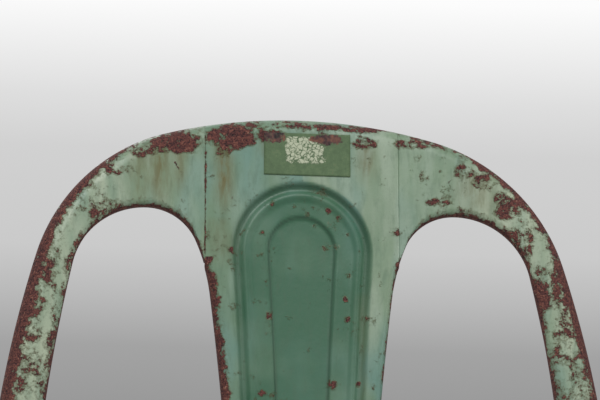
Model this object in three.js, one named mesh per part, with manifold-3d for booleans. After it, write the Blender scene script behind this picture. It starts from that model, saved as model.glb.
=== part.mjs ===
// A stacking chair pressed from sheet steel, as a three.js scene graph in millimetres.
// +X is the sitter's left-to-right as seen from the front, -Y is the front, +Z is up,
// and the origin is on the floor under the middle of the chair.
//
// The back is a bent round tube wrapped by three sheets: a splat with two pressed arches, and an arm on
// each side that is butt-welded to it. The seat is one dished pan whose skirt laps over four tapering
// corner legs and the apron rails between them. Two crossed straps tie the legs together.

import * as THREE from "three";
import { mergeVertices } from "three/addons/utils/BufferGeometryUtils.js";
import Module from "manifold-3d";

const wasm = await Module();
wasm.setup();

// ---- driving dimensions -----------------------------------------------------------------------------

const SHEET = 1.0; // thickness of every pressed sheet
const GAP = 0.3; // clearance between pieces that touch on the real chair
const CORNER_STEPS = 4; // facets in each round corner of the seat and legs
const DEG = Math.PI / 180;

const SEAT = {
  halfWidth: 178,
  front: -222,
  rear: 140,
  rearBow: 12, // how far the rear edge bulges backwards at its middle
  top: 450,
  frontRadius: 52,
  rearRadius: 24,
  roll: 8, // radius of the rolled edge
  skirt: 14, // straight skirt below the roll
  border: 30, // flat band round the dish at the front and sides
  rearBorder: 50,
  dish: 5, // depth of the pressed dish
  fall: 0.03, // the seat slopes down to the rear by this much per millimetre
  drainRadius: 7,
  sideDrainRadius: 4,
  sideDrainOffset: 62,
};

const LEG = {
  inset: SHEET + GAP, // the legs stand this far inside the seat's skirt
  footHalfWidth: 220,
  footFront: -255,
  footRear: 255.8,
  footRadius: 13,
  footFace: 31, // width of each face at the foot
  archFace: 70, // width of each face where the arch begins
  archRadius: 40, // fillet between the leg and the apron's lower edge
  archTop: 402,
  kneeTop: 428, // the splay starts here
  kneeBlend: 40,
  hem: 5,
  bottom: 4, // the sheet ends this far above the floor
  ribDepth: 1.6,
  ribHalfWidth: 4,
};

const BACK = {
  crest: 850, // height of the outline's highest point
  lean: 13 * DEG,
  y: 131.4, // front face at the middle, where it meets the seat
  sag: 17.6, // the sides stand this far in front of the middle ...
  sagAt: 165, // ... at this half-width
  roll: 9.5, // outer radius of the sheet that wraps the tube
  lip: 150 * DEG, // how far the sheet wraps round the tube
  tube: 7.6,
  tubeWall: 1.5,
  seam: 54.5, // half-width of the splat at the crest
  openingX: 86.7, // highest point of each side opening
  openingDrop: 52.4, // ... below the crest
  crestBend: 4, // bend radius of the opening's flange at the crest
  armBend: 8, // ... and down the arms
  flange: 2.5,
};

// Arcs [radius, turn in degrees] from the highest point of each outline, downwards on either side.
const OUTER_ARCS = [[289, 15.3], [102.5, 58.5], [617, 16.2]];
const OPENING_OUTER_ARCS = [[42, 77.8], [900, 12.2]];
const OPENING_INNER_ARCS = [[30.2, 65.7], [103, 16.8], [2000, 7.5]];

// The splat's pressed arches: top below the crest, radius of the arch, and taper of its sides.
const OUTER_ARCH = { drop: 38.4, radius: 37, taper: 3.8 };
const INNER_ARCH = { drop: 55.4, radius: 19, taper: 3.5 };
const PRESS = { groove: -2.4, ridge: -0.7, ring: -1.6, panel: -3.0, fadeFrom: 25, fadeTo: 60 };

const STRAP = { width: 18, thick: 3, height: 372, tab: 28, bend: 6 };
const RIVET = { radius: 2.5, head: 4.5, dome: 2, tail: 1.6 };
const GLIDE = { height: 16, size: 25, chamfer: 3 };
const LABEL = { width: 49, height: 24, thick: 0.3, drop: 20, offset: 3 };

const PAINT = { color: 0x6f9480, roughness: 0.55, metalness: 0.0 };
const RUBBER = { color: 0x1d1d1c, roughness: 0.85, metalness: 0.0 };
const PAPER = { color: 0x5f7a58, roughness: 0.8, metalness: 0.0 };
const STEEL = { color: 0x6a4a3a, roughness: 0.7, metalness: 0.4 };

// ---- small helpers ----------------------------------------------------------------------------------

const V = (x, y, z) => new THREE.Vector3(x, y, z);
const lerp = (a, b, t) => a + (b - a) * t;
const clamp01 = (t) => Math.min(1, Math.max(0, t));
const smooth = (a, b, t) => {
  const s = clamp01((t - a) / (b - a));
  return s * s * (3 - 2 * s);
};
const spread = (n, f) => Array.from({ length: n }, (_, i) => f(i / (n - 1), i));

// A closed solid from a grid of points on a sheet's outer face, thickened against the face's normals.
// With ring true, each row runs round and joins its own start.
function sheetSolid(rows, { thick = SHEET, ring = false } = {}) {
  const m = rows.length;
  const n = rows[0].length;
  const at = (i, j) => rows[i][ring ? (j + n) % n : Math.min(n - 1, Math.max(0, j))];
  const normal = (i, j) => {
    const along = at(Math.min(m - 1, i + 1), j).clone().sub(at(Math.max(0, i - 1), j));
    const across = at(i, j + 1).clone().sub(at(i, j - 1));
    return along.cross(across).normalize();
  };
  const positions = [];
  for (const side of [0, 1]) {
    for (let i = 0; i < m; i++) {
      for (let j = 0; j < n; j++) {
        const p = at(i, j).clone().addScaledVector(normal(i, j), -thick * side);
        positions.push(p.x, p.y, p.z);
      }
    }
  }
  const id = (side, i, j) => side * m * n + i * n + (ring ? (j + n) % n : j);
  const index = [];
  const quad = (a, b, c, d) => index.push(a, b, c, a, c, d);
  const cells = ring ? n : n - 1;
  for (let i = 0; i < m - 1; i++) {
    for (let j = 0; j < cells; j++) {
      quad(id(0, i, j), id(0, i + 1, j), id(0, i + 1, j + 1), id(0, i, j + 1));
      quad(id(1, i, j), id(1, i, j + 1), id(1, i + 1, j + 1), id(1, i + 1, j));
    }
  }
  for (let j = 0; j < cells; j++) {
    quad(id(0, 0, j), id(0, 0, j + 1), id(1, 0, j + 1), id(1, 0, j));
    quad(id(0, m - 1, j + 1), id(0, m - 1, j), id(1, m - 1, j), id(1, m - 1, j + 1));
  }
  if (!ring) {
    for (let i = 0; i < m - 1; i++) {
      quad(id(0, i + 1, 0), id(0, i, 0), id(1, i, 0), id(1, i + 1, 0));
      quad(id(0, i, n - 1), id(0, i + 1, n - 1), id(1, i + 1, n - 1), id(1, i, n - 1));
    }
  }
  return indexed(positions, index);
}

function indexed(positions, index) {
  const geometry = new THREE.BufferGeometry();
  geometry.setAttribute("position", new THREE.Float32BufferAttribute(positions, 3));
  geometry.setIndex(index);
  return geometry;
}

function volumeOf(geometry) {
  const p = geometry.getAttribute("position");
  const t = geometry.index.array;
  const [a, b, c] = [V(), V(), V()];
  let sum = 0;
  for (let i = 0; i < t.length; i += 3) {
    a.fromBufferAttribute(p, t[i]);
    b.fromBufferAttribute(p, t[i + 1]);
    c.fromBufferAttribute(p, t[i + 2]);
    sum += a.dot(b.cross(c)) / 6;
  }
  return sum;
}

// Turns every face round where they point inwards, as they do on a mirrored piece.
function facingOut(geometry) {
  if (volumeOf(geometry) < 0) geometry.index.array.reverse();
  return geometry;
}

function solidOf(geometry) {
  const bare = new THREE.BufferGeometry();
  bare.setAttribute("position", geometry.getAttribute("position"));
  bare.setIndex(geometry.index);
  const merged = mergeVertices(bare, 1e-4);
  const vertProperties = merged.getAttribute("position").array;
  const triVerts = new Uint32Array(merged.index.array);
  return new wasm.Manifold(new wasm.Mesh({ numProp: 3, vertProperties, triVerts }));
}

function cut(geometry, cutters) {
  let solid = solidOf(facingOut(geometry));
  for (const cutter of cutters) solid = solid.subtract(solidOf(cutter));
  const made = solid.getMesh();
  return indexed(Array.from(made.vertProperties), Array.from(made.triVerts));
}

// A cylinder of the given radius from one point to another.
function bar(from, to, radius, sides = 12) {
  const along = to.clone().sub(from);
  const geometry = new THREE.CylinderGeometry(radius, radius, along.length(), sides);
  const turn = new THREE.Quaternion().setFromUnitVectors(V(0, 1, 0), along.clone().normalize());
  geometry.applyQuaternion(turn);
  geometry.translate(...from.clone().add(to).multiplyScalar(0.5));
  return geometry;
}

// The clearance hole for a rivet at a point.
function hole(at, direction, reach) {
  const end = (k) => at.clone().addScaledVector(direction, k * reach);
  return bar(end(-1), end(1), RIVET.radius + GAP, 8);
}

function moved(geometry, change) {
  const p = geometry.getAttribute("position");
  for (let i = 0; i < p.count; i++) {
    const q = change(V().fromBufferAttribute(p, i));
    p.setXYZ(i, q.x, q.y, q.z);
  }
  return geometry;
}

const mirrored = (geometry) => moved(geometry, (p) => V(-p.x, p.y, p.z));

// Everything from the seat down is laid out level, and then falls towards the rear with the seat.
const fallAt = (y) => SEAT.fall * (y - SEAT.front);
const settled = (p) => V(p.x, p.y, p.z - fallAt(p.y) * clamp01(p.z / SEAT.top));

// Points along a chain of arcs that starts level at (x, z) and turns downwards; side is +1 or -1 in x.
function arcChain(x, z, side, arcs, degreesPerStep) {
  const points = [[x, z]];
  let heading = 0;
  for (const [radius, turn] of arcs) {
    const steps = Math.max(1, Math.ceil(turn / degreesPerStep), Math.ceil((radius * turn * DEG) / 40));
    for (let i = 0; i < steps; i++) {
      const half = (turn * DEG) / steps / 2;
      heading += half;
      x += side * 2 * radius * Math.sin(half) * Math.cos(heading);
      z -= 2 * radius * Math.sin(half) * Math.sin(heading);
      heading += half;
      points.push([x, z]);
    }
  }
  return points;
}

// A polyline read by its length, or by where it crosses a given x or z.
function polyline(points) {
  const lengths = [0];
  for (let i = 1; i < points.length; i++) {
    const [dx, dz] = [points[i][0] - points[i - 1][0], points[i][1] - points[i - 1][1]];
    lengths.push(lengths[i - 1] + Math.hypot(dx, dz));
  }
  const between = (i, t) => [0, 1].map((k) => lerp(points[i][k], points[i + 1][k], t));
  const at = (s) => {
    let i = 0;
    while (i < points.length - 2 && lengths[i + 1] < s) i++;
    return between(i, (s - lengths[i]) / (lengths[i + 1] - lengths[i]));
  };
  const where = (k, value) => {
    for (let i = 0; i < points.length - 1; i++) {
      const [a, b] = [points[i][k], points[i + 1][k]];
      if ((a - value) * (b - value) <= 0 && a !== b) {
        return lengths[i] + ((value - a) / (b - a)) * (lengths[i + 1] - lengths[i]);
      }
    }
    return lengths.at(-1);
  };
  return { at, where, length: lengths.at(-1) };
}

// ---- the plan of the seat and of everything under it -------------------------------------------------

// A rounded rectangle with a bowed rear edge, as points that run round from the middle of the front
// edge. Its corners keep the same number of points at every size, so plans at two heights can be joined.
function plan({ halfWidth, front, rear, frontRadius, rearRadius, bow }, straight, corner) {
  const points = [];
  const edge = (from, to, n) => spread(n + 1, (t) => [lerp(from[0], to[0], t), lerp(from[1], to[1], t)]);
  const arc = (cx, cy, r, start, n) => spread(n + 1, (t) => {
    const a = start + (t * Math.PI) / 2;
    return [cx + r * Math.cos(a), cy + r * Math.sin(a)];
  });
  const add = (list) => points.push(...list.slice(0, -1));
  const [xf, xr] = [halfWidth - frontRadius, halfWidth - rearRadius];
  const [yf, yr] = [front + frontRadius, rear - rearRadius];
  add(edge([0, front], [xf, front], straight));
  add(arc(xf, yf, frontRadius, -Math.PI / 2, corner));
  add(edge([halfWidth, yf], [halfWidth, yr], 2 * straight));
  add(arc(xr, yr, rearRadius, 0, corner));
  add(edge([xr, rear], [-xr, rear], 4 * straight).map(([x, y]) => [x, y + bow * (1 - (x / xr) ** 2)]));
  add(arc(-xr, yr, rearRadius, Math.PI / 2, corner));
  add(edge([-halfWidth, yr], [-halfWidth, yf], 2 * straight));
  add(arc(-xf, yf, frontRadius, Math.PI, corner));
  add(edge([-xf, front], [0, front], straight));
  return points;
}

function seatPlan(inset, rearExtra = 0) {
  return {
    halfWidth: SEAT.halfWidth - inset,
    front: SEAT.front + inset,
    rear: SEAT.rear - inset - rearExtra,
    frontRadius: Math.max(14, SEAT.frontRadius - inset * 0.7),
    rearRadius: Math.max(14, SEAT.rearRadius - inset * 0.3 + rearExtra * 0.2),
    bow: SEAT.rearBow,
  };
}

// How far the legs have splayed at height z, as a share of the splay at the floor.
function splay(z) {
  const below = Math.max(0, LEG.kneeTop - z);
  const run = (d) => (d < LEG.kneeBlend ? (d * d) / (2 * LEG.kneeBlend) : d - LEG.kneeBlend / 2);
  return run(below) / run(LEG.kneeTop);
}

// The outer faces of the legs and aprons at height z.
function faces(z) {
  const s = splay(z);
  return {
    x: lerp(SEAT.halfWidth - LEG.inset, LEG.footHalfWidth, s),
    front: lerp(SEAT.front + LEG.inset, LEG.footFront, s),
    rear: lerp(SEAT.rear - LEG.inset, LEG.footRear, s),
    bow: SEAT.rearBow * smooth(LEG.archTop - LEG.archRadius, SEAT.top - SEAT.roll, z),
  };
}

const legTop = SEAT.top - SEAT.roll - 0.5;

function cornerRadius(z, rear) {
  const atTop = (rear ? SEAT.rearRadius : SEAT.frontRadius) - LEG.inset;
  return lerp(LEG.footRadius, atTop, Math.min(1, z / (LEG.kneeTop - 20)));
}

// ---- seat ----------------------------------------------------------------------------------------

function seatPan() {
  const rings = [];
  const ringAt = (inset, z, rearExtra = 0) =>
    rings.push(plan(seatPlan(inset, rearExtra), 2, CORNER_STEPS).map(([x, y]) => V(x, y, z)));
  const dishFloor = SEAT.top - SEAT.dish;
  const rearExtra = SEAT.rearBorder - SEAT.border;
  const outline = plan(seatPlan(SEAT.border + 40, rearExtra), 2, CORNER_STEPS);
  const middle = (SEAT.front + SEAT.rear) / 2;
  rings.push(outline.map(([x, y]) => {
    const angle = Math.atan2(y - middle, x);
    const [across, along] = [Math.cos(angle), Math.sin(angle)].map((v) => v * SEAT.drainRadius);
    return V(across, middle + along, dishFloor - 1.5);
  }));
  ringAt(SEAT.border + 50, dishFloor - 1, rearExtra);
  ringAt(SEAT.border + 36, dishFloor, rearExtra);
  ringAt(SEAT.border + 30, dishFloor + 1.2, rearExtra);
  ringAt(SEAT.border + 24, dishFloor, rearExtra);
  ringAt(SEAT.border + 9, dishFloor + 0.4, rearExtra);
  ringAt(SEAT.border + 4, SEAT.top - 2, rearExtra);
  ringAt(SEAT.border, SEAT.top, rearExtra);
  for (const turn of [0, 30, 60, 90]) {
    const [s, c] = [Math.sin(turn * DEG), Math.cos(turn * DEG)];
    ringAt(SEAT.roll * (1 - s), SEAT.top - SEAT.roll * (1 - c));
  }
  ringAt(0, SEAT.top - SEAT.roll - SEAT.skirt);
  const holes = [-1, 1].flatMap((sx) => [-1, 1].map((sy) => {
    const [x, y] = [sx * SEAT.sideDrainOffset, middle + sy * SEAT.sideDrainOffset];
    return bar(V(x, y, SEAT.top - 20), V(x, y, SEAT.top + 20), SEAT.sideDrainRadius, 10);
  }));
  const tubeHoles = [1, -1].map((side) => {
    const [low, high] = [tubeAxis(-30), tubeAxis(40)];
    return bar(V(side * low.x, low.y, low.z), V(side * high.x, high.y, high.z), BACK.tube + 1);
  });
  const pan = sheetSolid(rings, { ring: true });
  return cut(moved(cut(pan, holes), settled), [...tubeHoles, ...splatRivetHoles()]);
}

// ---- legs and aprons --------------------------------------------------------------------------------

// Width of a leg's face at each level, and how far its hem has opened flat (0 turned in, 1 flat).
function legLevels() {
  const archStart = LEG.archTop - LEG.archRadius;
  const face = (z) => lerp(LEG.footFace, LEG.archFace, z / archStart);
  const levels = [LEG.bottom, 20, 60, 180, 290, archStart].map((z) => ({ z, width: face(z), open: 0 }));
  for (const turn of [22, 44, 62, 78, 90]) {
    const a = turn * DEG;
    levels.push({
      z: archStart + LEG.archRadius * Math.sin(a),
      width: LEG.archFace + LEG.archRadius * (1 - Math.cos(a)),
      open: smooth(40, 78, turn),
    });
  }
  const { width } = levels.at(-1);
  const knee = [LEG.kneeTop - 20, LEG.kneeTop - 8, LEG.kneeTop, legTop];
  return [...levels, ...knee.map((z) => ({ z, width, open: 1 }))];
}

// One corner leg, at +X: its side face, round corner and front or rear face, with a pressed rib in each.
function leg(rear) {
  const away = rear ? 1 : -1;
  const rows = legLevels().map(({ z, width, open }) => {
    const f = faces(z);
    const corner = [f.x, rear ? f.rear : f.front];
    const r = cornerRadius(z, rear);
    const rib = LEG.ribDepth * smooth(20, 60, z) * (1 - smooth(300, 360, z));
    const middle = (width + r) / 2;
    const half = Math.min(LEG.ribHalfWidth, (width - r) / 2 - 1);
    const section = [
      [width + LEG.hem * open, LEG.hem * (1 - open)],
      [width, 0],
      [middle + half, 0],
      [middle, rib],
      [middle - half, 0],
    ];
    const arc = spread(CORNER_STEPS + 1, (t) => {
      const a = (t * Math.PI) / 2;
      return [r - r * Math.sin(a), r - r * Math.cos(a)];
    });
    const onSide = ([along, depth]) => V(corner[0] - depth, corner[1] - away * along, z);
    const onEnd = ([along, depth]) => {
      const x = corner[0] - along;
      const bow = rear ? f.bow * (1 - (Math.min(1, x / (f.x - r))) ** 2) : 0;
      return V(x, corner[1] + bow - away * depth, z);
    };
    return [
      ...section.map(onSide),
      ...arc.map(onSide),
      ...section.slice().reverse().map(onEnd),
    ];
  });
  const solid = sheetSolid(rear ? rows.slice().reverse() : rows);
  return cut(moved(solid, settled), [tabHole(rear)]);
}

const APRON_LEVELS = [LEG.archTop + 1.5, 412, 422, legTop];

// An apron rail behind the legs' faces, with its lower edge turned in. line gives a point and the
// inward direction of the rail at a level and a share of its length.
function apron(line, n) {
  const depth = SHEET + 3 * GAP;
  const rows = [];
  const row = (z, inwards) => rows.push(spread(n, (t) => {
    const { point, inward } = line(z, t);
    return point.addScaledVector(inward, depth + inwards);
  }));
  row(APRON_LEVELS[0], LEG.hem + 3);
  APRON_LEVELS.forEach((z) => row(z, 0));
  return rows.reverse();
}

function frontApron() {
  const reach = SEAT.halfWidth - SEAT.frontRadius - 4;
  const line = (z, t) => ({ point: V(lerp(-reach, reach, t), faces(z).front, z), inward: V(0, 1, 0) });
  return facingOut(moved(sheetSolid(apron(line, 5)), settled));
}

function rearApron() {
  const reach = tubeAxis(0).x - BACK.tube - 8;
  const line = (z, t) => {
    const f = faces(z);
    const x = lerp(reach, -reach, t);
    const bow = f.bow * (1 - (x / (f.x - cornerRadius(z, true))) ** 2);
    return { point: V(x, f.rear + bow, z), inward: V(0, -1, 0) };
  };
  return facingOut(moved(sheetSolid(apron(line, 9)), settled));
}

function sideApron() {
  const [start, end] = [SEAT.front + SEAT.frontRadius + 4, SEAT.rear - 52];
  const line = (z, t) => ({ point: V(faces(z).x, lerp(start, end, t), z), inward: V(-1, 0, 0) });
  return facingOut(moved(sheetSolid(apron(line, 5)), settled));
}

// ---- back ------------------------------------------------------------------------------------------

const seatAtBack = SEAT.top - fallAt(BACK.y);

// A point on the front face of the back, with the directions that the sheets are laid out in.
function backPoint(x, z) {
  const y = BACK.y + Math.tan(BACK.lean) * (z - seatAtBack) - BACK.sag * (x / BACK.sagAt) ** 2;
  return V(x, y, z);
}

function frontNormal(x) {
  return V((-2 * BACK.sag * x) / BACK.sagAt ** 2, -1, Math.tan(BACK.lean)).normalize();
}

function alongBack([x, z], [dx, dz]) {
  return backPoint(x + dx * 0.1, z + dz * 0.1).sub(backPoint(x, z)).normalize();
}

const LANDING = seatAtBack + 1; // the arms end just above the seat
const SHOULDER_X = 96; // half-width of the outline above the openings' highest points

const toSeat = (points) => [...points, [points.at(-1)[0], seatAtBack - 40]];
const outerLine = polyline(toSeat(arcChain(0, BACK.crest, 1, OUTER_ARCS, 7)));
const openingTop = BACK.crest - BACK.openingDrop;
const openingOuter = toSeat(arcChain(BACK.openingX, openingTop, 1, OPENING_OUTER_ARCS, 13));
const openingInner = toSeat(arcChain(BACK.openingX, openingTop, -1, OPENING_INNER_ARCS, 11));

function outwardAt(s) {
  const [a, b] = [outerLine.at(s - 1), outerLine.at(s + 1)];
  const [dx, dz] = [b[0] - a[0], b[1] - a[1]];
  return [-dz, dx].map((v) => v / Math.hypot(dx, dz));
}

// The tube's axis beside the outline at length s. The wrapped edge reaches the outline when it is seen
// from the front, and its front face lies in the face of the back.
function rollFrame(s) {
  const at = outerLine.at(s);
  const side = outwardAt(s);
  const out = alongBack(at, side);
  const normal = frontNormal(at[0]);
  const x = at[0] - BACK.roll * (side[0] - normal.x);
  const z = at[1] - BACK.roll * (side[1] - normal.z);
  const front = backPoint(x, z);
  const axis = front.clone().addScaledVector(normal, -BACK.roll);
  return { out, normal, front, axis };
}

// A point on the tube's axis, height above the seat's top, on the straight stretch at +X.
function tubeAxis(height) {
  const { axis } = rollFrame(outerLine.where(1, seatAtBack + 20));
  const up = V(0, Math.sin(BACK.lean), Math.cos(BACK.lean));
  return axis.clone().addScaledVector(up, (seatAtBack + height - axis.z) / up.z);
}

// Slides a section along the leaning arm until it is level, so that the sheets end flat on the seat.
function levelled(point, z, share) {
  const up = V(0, Math.sin(BACK.lean), Math.cos(BACK.lean));
  return point.clone().addScaledVector(up, (share * (z - point.z)) / up.z);
}

// The round of the wrapped edge, from the lip behind the tube to the front face.
function wrap({ axis, out, normal }, steps) {
  return spread(steps, (t) => {
    const a = BACK.lip * (1 - t);
    return axis.clone()
      .addScaledVector(out, BACK.roll * Math.sin(a))
      .addScaledVector(normal, BACK.roll * Math.cos(a));
  });
}

// The flange that turns back at an opening's edge.
function turnedEdge(edge, out, normal, bend, flange, steps) {
  const centre = edge.clone().addScaledVector(out, -bend).addScaledVector(normal, -bend);
  const round = spread(steps, (t) => {
    const a = (t * Math.PI) / 2;
    return centre.clone()
      .addScaledVector(out, bend * Math.sin(a))
      .addScaledVector(normal, bend * Math.cos(a));
  });
  return [...round, round.at(-1).clone().addScaledVector(normal, -flange)];
}

// The arm at +X: a fan of sections that each run from the outline to the opening's edge.
function backArm() {
  const seamX = BACK.seam + 3 * GAP;
  const edgeLine = polyline([...cutAt(openingInner, seamX).reverse(), ...openingOuter.slice(1)]);
  const start = edgeLine.where(1, openingTop);
  const downside = polyline(openingOuter);
  // Lengths along the outline and along the opening's edge that are joined, and the sections from each
  // mark to the next.
  const marks = [
    [outerLine.where(0, seamX), 0, 4],
    [outerLine.where(0, SHOULDER_X), start, 8],
    [outerLine.where(1, openingTop - 40), start + downside.where(1, openingTop - 36), 4],
    [outerLine.where(1, openingTop - 130), start + downside.where(1, openingTop - 130), 5],
    [outerLine.where(1, LANDING), start + downside.where(1, LANDING), 0],
  ];
  const stations = [];
  marks.slice(0, -1).forEach(([outer, inner, n], k) => {
    const [nextOuter, nextInner] = marks[k + 1];
    for (let i = 0; i < n; i++) stations.push([lerp(outer, nextOuter, i / n), lerp(inner, nextInner, i / n)]);
  });
  stations.push(marks.at(-1));
  const rows = stations.map(([outer, inner]) => {
    const frame = rollFrame(outer);
    const [x, z] = edgeLine.at(inner);
    const share = smooth(openingTop - 60, openingTop - 130, z);
    const bend = lerp(BACK.crestBend, BACK.armBend, share);
    const normal = frontNormal(x);
    const edge = backPoint(x + bend * normal.x, z + bend * normal.z);
    const out = edge.clone().sub(frame.front).normalize();
    const section = [...wrap(frame, 7), ...turnedEdge(edge, out, normal, bend, BACK.flange, 4)];
    const level = smooth(openingTop - 160, openingTop - 240, z);
    return section.map((p) => levelled(p, z, level));
  });
  rows[0] = rows[0].map((p) => V(seamX, p.y, p.z));
  return facingOut(sheetSolid(rows.reverse()));
}

// The part of a line from its start to where it crosses a given x, with that crossing as its last point.
function cutAt(points, x) {
  const kept = points.filter((p) => p[0] > x);
  const next = points[kept.length];
  const last = kept.at(-1);
  const t = (x - last[0]) / (next[0] - last[0]);
  return [...kept, [x, lerp(last[1], next[1], t)]];
}

// Signed distance inside an arch, positive inside; its sides straighten towards the seat.
function insideArch({ drop, radius, taper }, x, z) {
  const centre = BACK.crest - drop - radius;
  if (z > centre) return radius - Math.hypot(x, z - centre);
  const run = centre - seatAtBack - 40;
  const down = Math.min(centre - z, run);
  const half = radius - Math.tan(taper * DEG) * (down - (down * down) / (2 * run));
  return half - Math.abs(x);
}

// How far the splat's face is pressed back at a place.
function pressed(x, z) {
  const height = z - seatAtBack;
  const outer = insideArch(OUTER_ARCH, x, z);
  const inner = insideArch(INNER_ARCH, x, z);
  const groove = PRESS.groove * smooth(-3, 1.5, outer) * (1 - smooth(2.5, 6, outer));
  const ridge = PRESS.ridge * smooth(2.5, 6, outer) * (1 - smooth(7, 12, outer));
  const ring = PRESS.ring * smooth(7, 12, outer) * (1 - smooth(-2, 1.5, inner));
  const panel = PRESS.panel * smooth(-2, 1.5, inner);
  return (groove + ridge + ring + panel) * smooth(PRESS.fadeFrom, PRESS.fadeTo, height);
}

// The splat: wrapped crest, pressed face, turned side edges, and a foot that lies on the seat.
function backSplat() {
  const sideLine = polyline(openingInner);
  const seamFoot = sideLine.at(sideLine.where(0, BACK.seam))[1];
  const halfWidth = (z) => (z > seamFoot ? BACK.seam : sideLine.at(sideLine.where(1, z))[0]);
  const shares = spread(19, (t) => 2 * t - 1);
  const seatTop = (y) => SEAT.top - fallAt(y);
  const wrapSteps = 6;
  const columns = shares.map((u) => {
    const s = outerLine.where(0, Math.max(0.01, Math.abs(u) * BACK.seam));
    const frame = rollFrame(s);
    if (u < 0) for (const key of ["out", "normal", "front", "axis"]) frame[key].x *= -1;
    return { u, frame, top: frame.front.z };
  });
  const crestTop = columns[9].top;
  const archZone = spread(13, (t) => lerp(crestTop - 16, seamFoot - 52, t));
  const straightZone = spread(5, (t) => lerp(seamFoot - 70, seatAtBack + 24, t));
  const heights = [...archZone, ...straightZone, seatAtBack + 14, seatAtBack + 5];
  const rows = [];
  for (let i = 0; i < wrapSteps; i++) {
    rows.push(columns.map(({ u, frame }) => wrap(frame, wrapSteps)[i].setX(u * BACK.seam)));
  }
  for (const z of heights) {
    rows.push(columns.map(({ u, top }) => {
      const lowered = z - (crestTop - top) * smooth(crestTop - 90, crestTop, z);
      const x = u * halfWidth(lowered);
      return backPoint(x, lowered).addScaledVector(frontNormal(x), pressed(x, lowered));
    }));
  }
  const footZ = (y) => seatTop(y) + GAP;
  for (const back of [2.5, 13]) {
    rows.push(columns.map(({ u }) => {
      const x = u * halfWidth(seatAtBack);
      const y = backPoint(x, seatAtBack).y + back;
      return V(x, y, footZ(y));
    }));
  }
  // The side edges turn back below the seam, and lie flat at the crest and at the foot.
  const flanged = rows.map((row, i) => {
    const z = row[0].z;
    const standing = smooth(seatAtBack + 8, seatAtBack + 24, z);
    const turned = i < wrapSteps ? 0 : smooth(seamFoot + 4, seamFoot - 12, z) * standing;
    const side = (first, next) => {
      const outward = first.clone().sub(next).normalize();
      const normal = frontNormal(first.x);
      const edge = first.clone().addScaledVector(outward, -BACK.flange * (1 - turned));
      const tip = edge.clone()
        .addScaledVector(outward, BACK.flange * (1 - turned))
        .addScaledVector(normal, -(BACK.flange + BACK.crestBend) * turned);
      return [tip, edge];
    };
    const left = side(row[0], row[1]);
    const right = side(row.at(-1), row.at(-2)).reverse();
    return [...left, ...row.slice(1, -1), ...right];
  });
  return cut(sheetSolid(flanged), splatRivetHoles());
}

// Where the splat's foot is riveted to the seat, on top of both sheets.
function splatRivetPlaces() {
  return [-22, 0, 22].map((x) => {
    const y = backPoint(x, seatAtBack).y + 8;
    return V(x, y, SEAT.top - fallAt(y) + SHEET + GAP);
  });
}

const splatRivetHoles = () => splatRivetPlaces().map((p) => hole(p, V(0, 0, 1), 5));

// The hoop tube: its axis follows the wrapped edge, then bends back into the rear legs.
function hoopTube() {
  const last = outerLine.where(1, seatAtBack + 20);
  const upper = spread(26, (t) => rollFrame(lerp(0, last, t)).axis);
  const inset = LEG.inset + SHEET + GAP + BACK.tube + 0.6;
  const inLeg = (z) => {
    const f = faces(z);
    const extra = (cornerRadius(z, true) - inset) * 0.3;
    return settled(V(f.x - inset - extra, f.rear - inset - extra, z));
  };
  const half = [...upper, tubeAxis(0), inLeg(428), inLeg(412), inLeg(398)];
  const mirror = half.slice(1).reverse().map((p) => V(-p.x, p.y, p.z));
  const curve = new THREE.CatmullRomCurve3([...mirror, ...half], false, "centripetal");
  const ring = (r) => new THREE.Path().absarc(0, 0, r, 0, 2 * Math.PI);
  const shape = new THREE.Shape().absarc(0, 0, BACK.tube, 0, 2 * Math.PI);
  shape.holes.push(ring(BACK.tube - BACK.tubeWall));
  return new THREE.ExtrudeGeometry(shape, { steps: 44, extrudePath: curve, curveSegments: 4 });
}

// The thin blank label stuck to the face below the crest.
function label() {
  const rows = spread(3, (v) => spread(5, (u) => {
    const x = LABEL.offset + lerp(-LABEL.width, LABEL.width, u) / 2;
    const z = BACK.crest - LABEL.drop + lerp(LABEL.height, -LABEL.height, v) / 2;
    return backPoint(x, z).addScaledVector(frontNormal(x), LABEL.thick + GAP);
  }));
  return sheetSolid(rows, { thick: LABEL.thick });
}

// ---- straps, rivets and glides ------------------------------------------------------------------------

// A leg's corner at a height, along the strap's diagonal: its outer surface, the plane where a strap's
// tab lies against it, and the outward direction.
function cornerPlace(rear, z) {
  const f = faces(z);
  const r = cornerRadius(z, rear);
  const away = rear ? 1 : -1;
  const centre = V(f.x - r, (rear ? f.rear : f.front) - away * r, z);
  const outward = centre.clone().sub(V(0, (f.front + f.rear) / 2, z)).normalize();
  const inner = r * Math.cos(Math.PI / 4 / CORNER_STEPS) - SHEET;
  const face = Math.sqrt(inner ** 2 - (STRAP.width / 2) ** 2) - GAP;
  const at = (distance) => centre.clone().addScaledVector(outward, distance);
  return { outward, surface: at(r), face: at(face) };
}

// The rivet that holds a strap's tab to a leg at +X: its place on the leg's outer surface, the way that
// surface faces, and how much the rivet grips.
function tabRivet(rear) {
  const z = STRAP.height - 0.65 * STRAP.tab;
  const { outward, surface, face } = cornerPlace(rear, z);
  const at = settled(surface);
  const up = settled(cornerPlace(rear, z + 5).surface).sub(at).normalize();
  const facing = outward.clone().addScaledVector(up, -outward.dot(up)).normalize();
  return { at, outward: facing, grip: surface.distanceTo(face) + STRAP.thick };
}

function tabHole(rear, side = 1) {
  const { at, outward } = tabRivet(rear);
  return hole(V(side * at.x, at.y, at.z), V(side * outward.x, outward.y, outward.z), 14);
}

const strapCrossing = settled(V(0, (LEG.footFront + LEG.footRear) / 2, STRAP.height));

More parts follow.
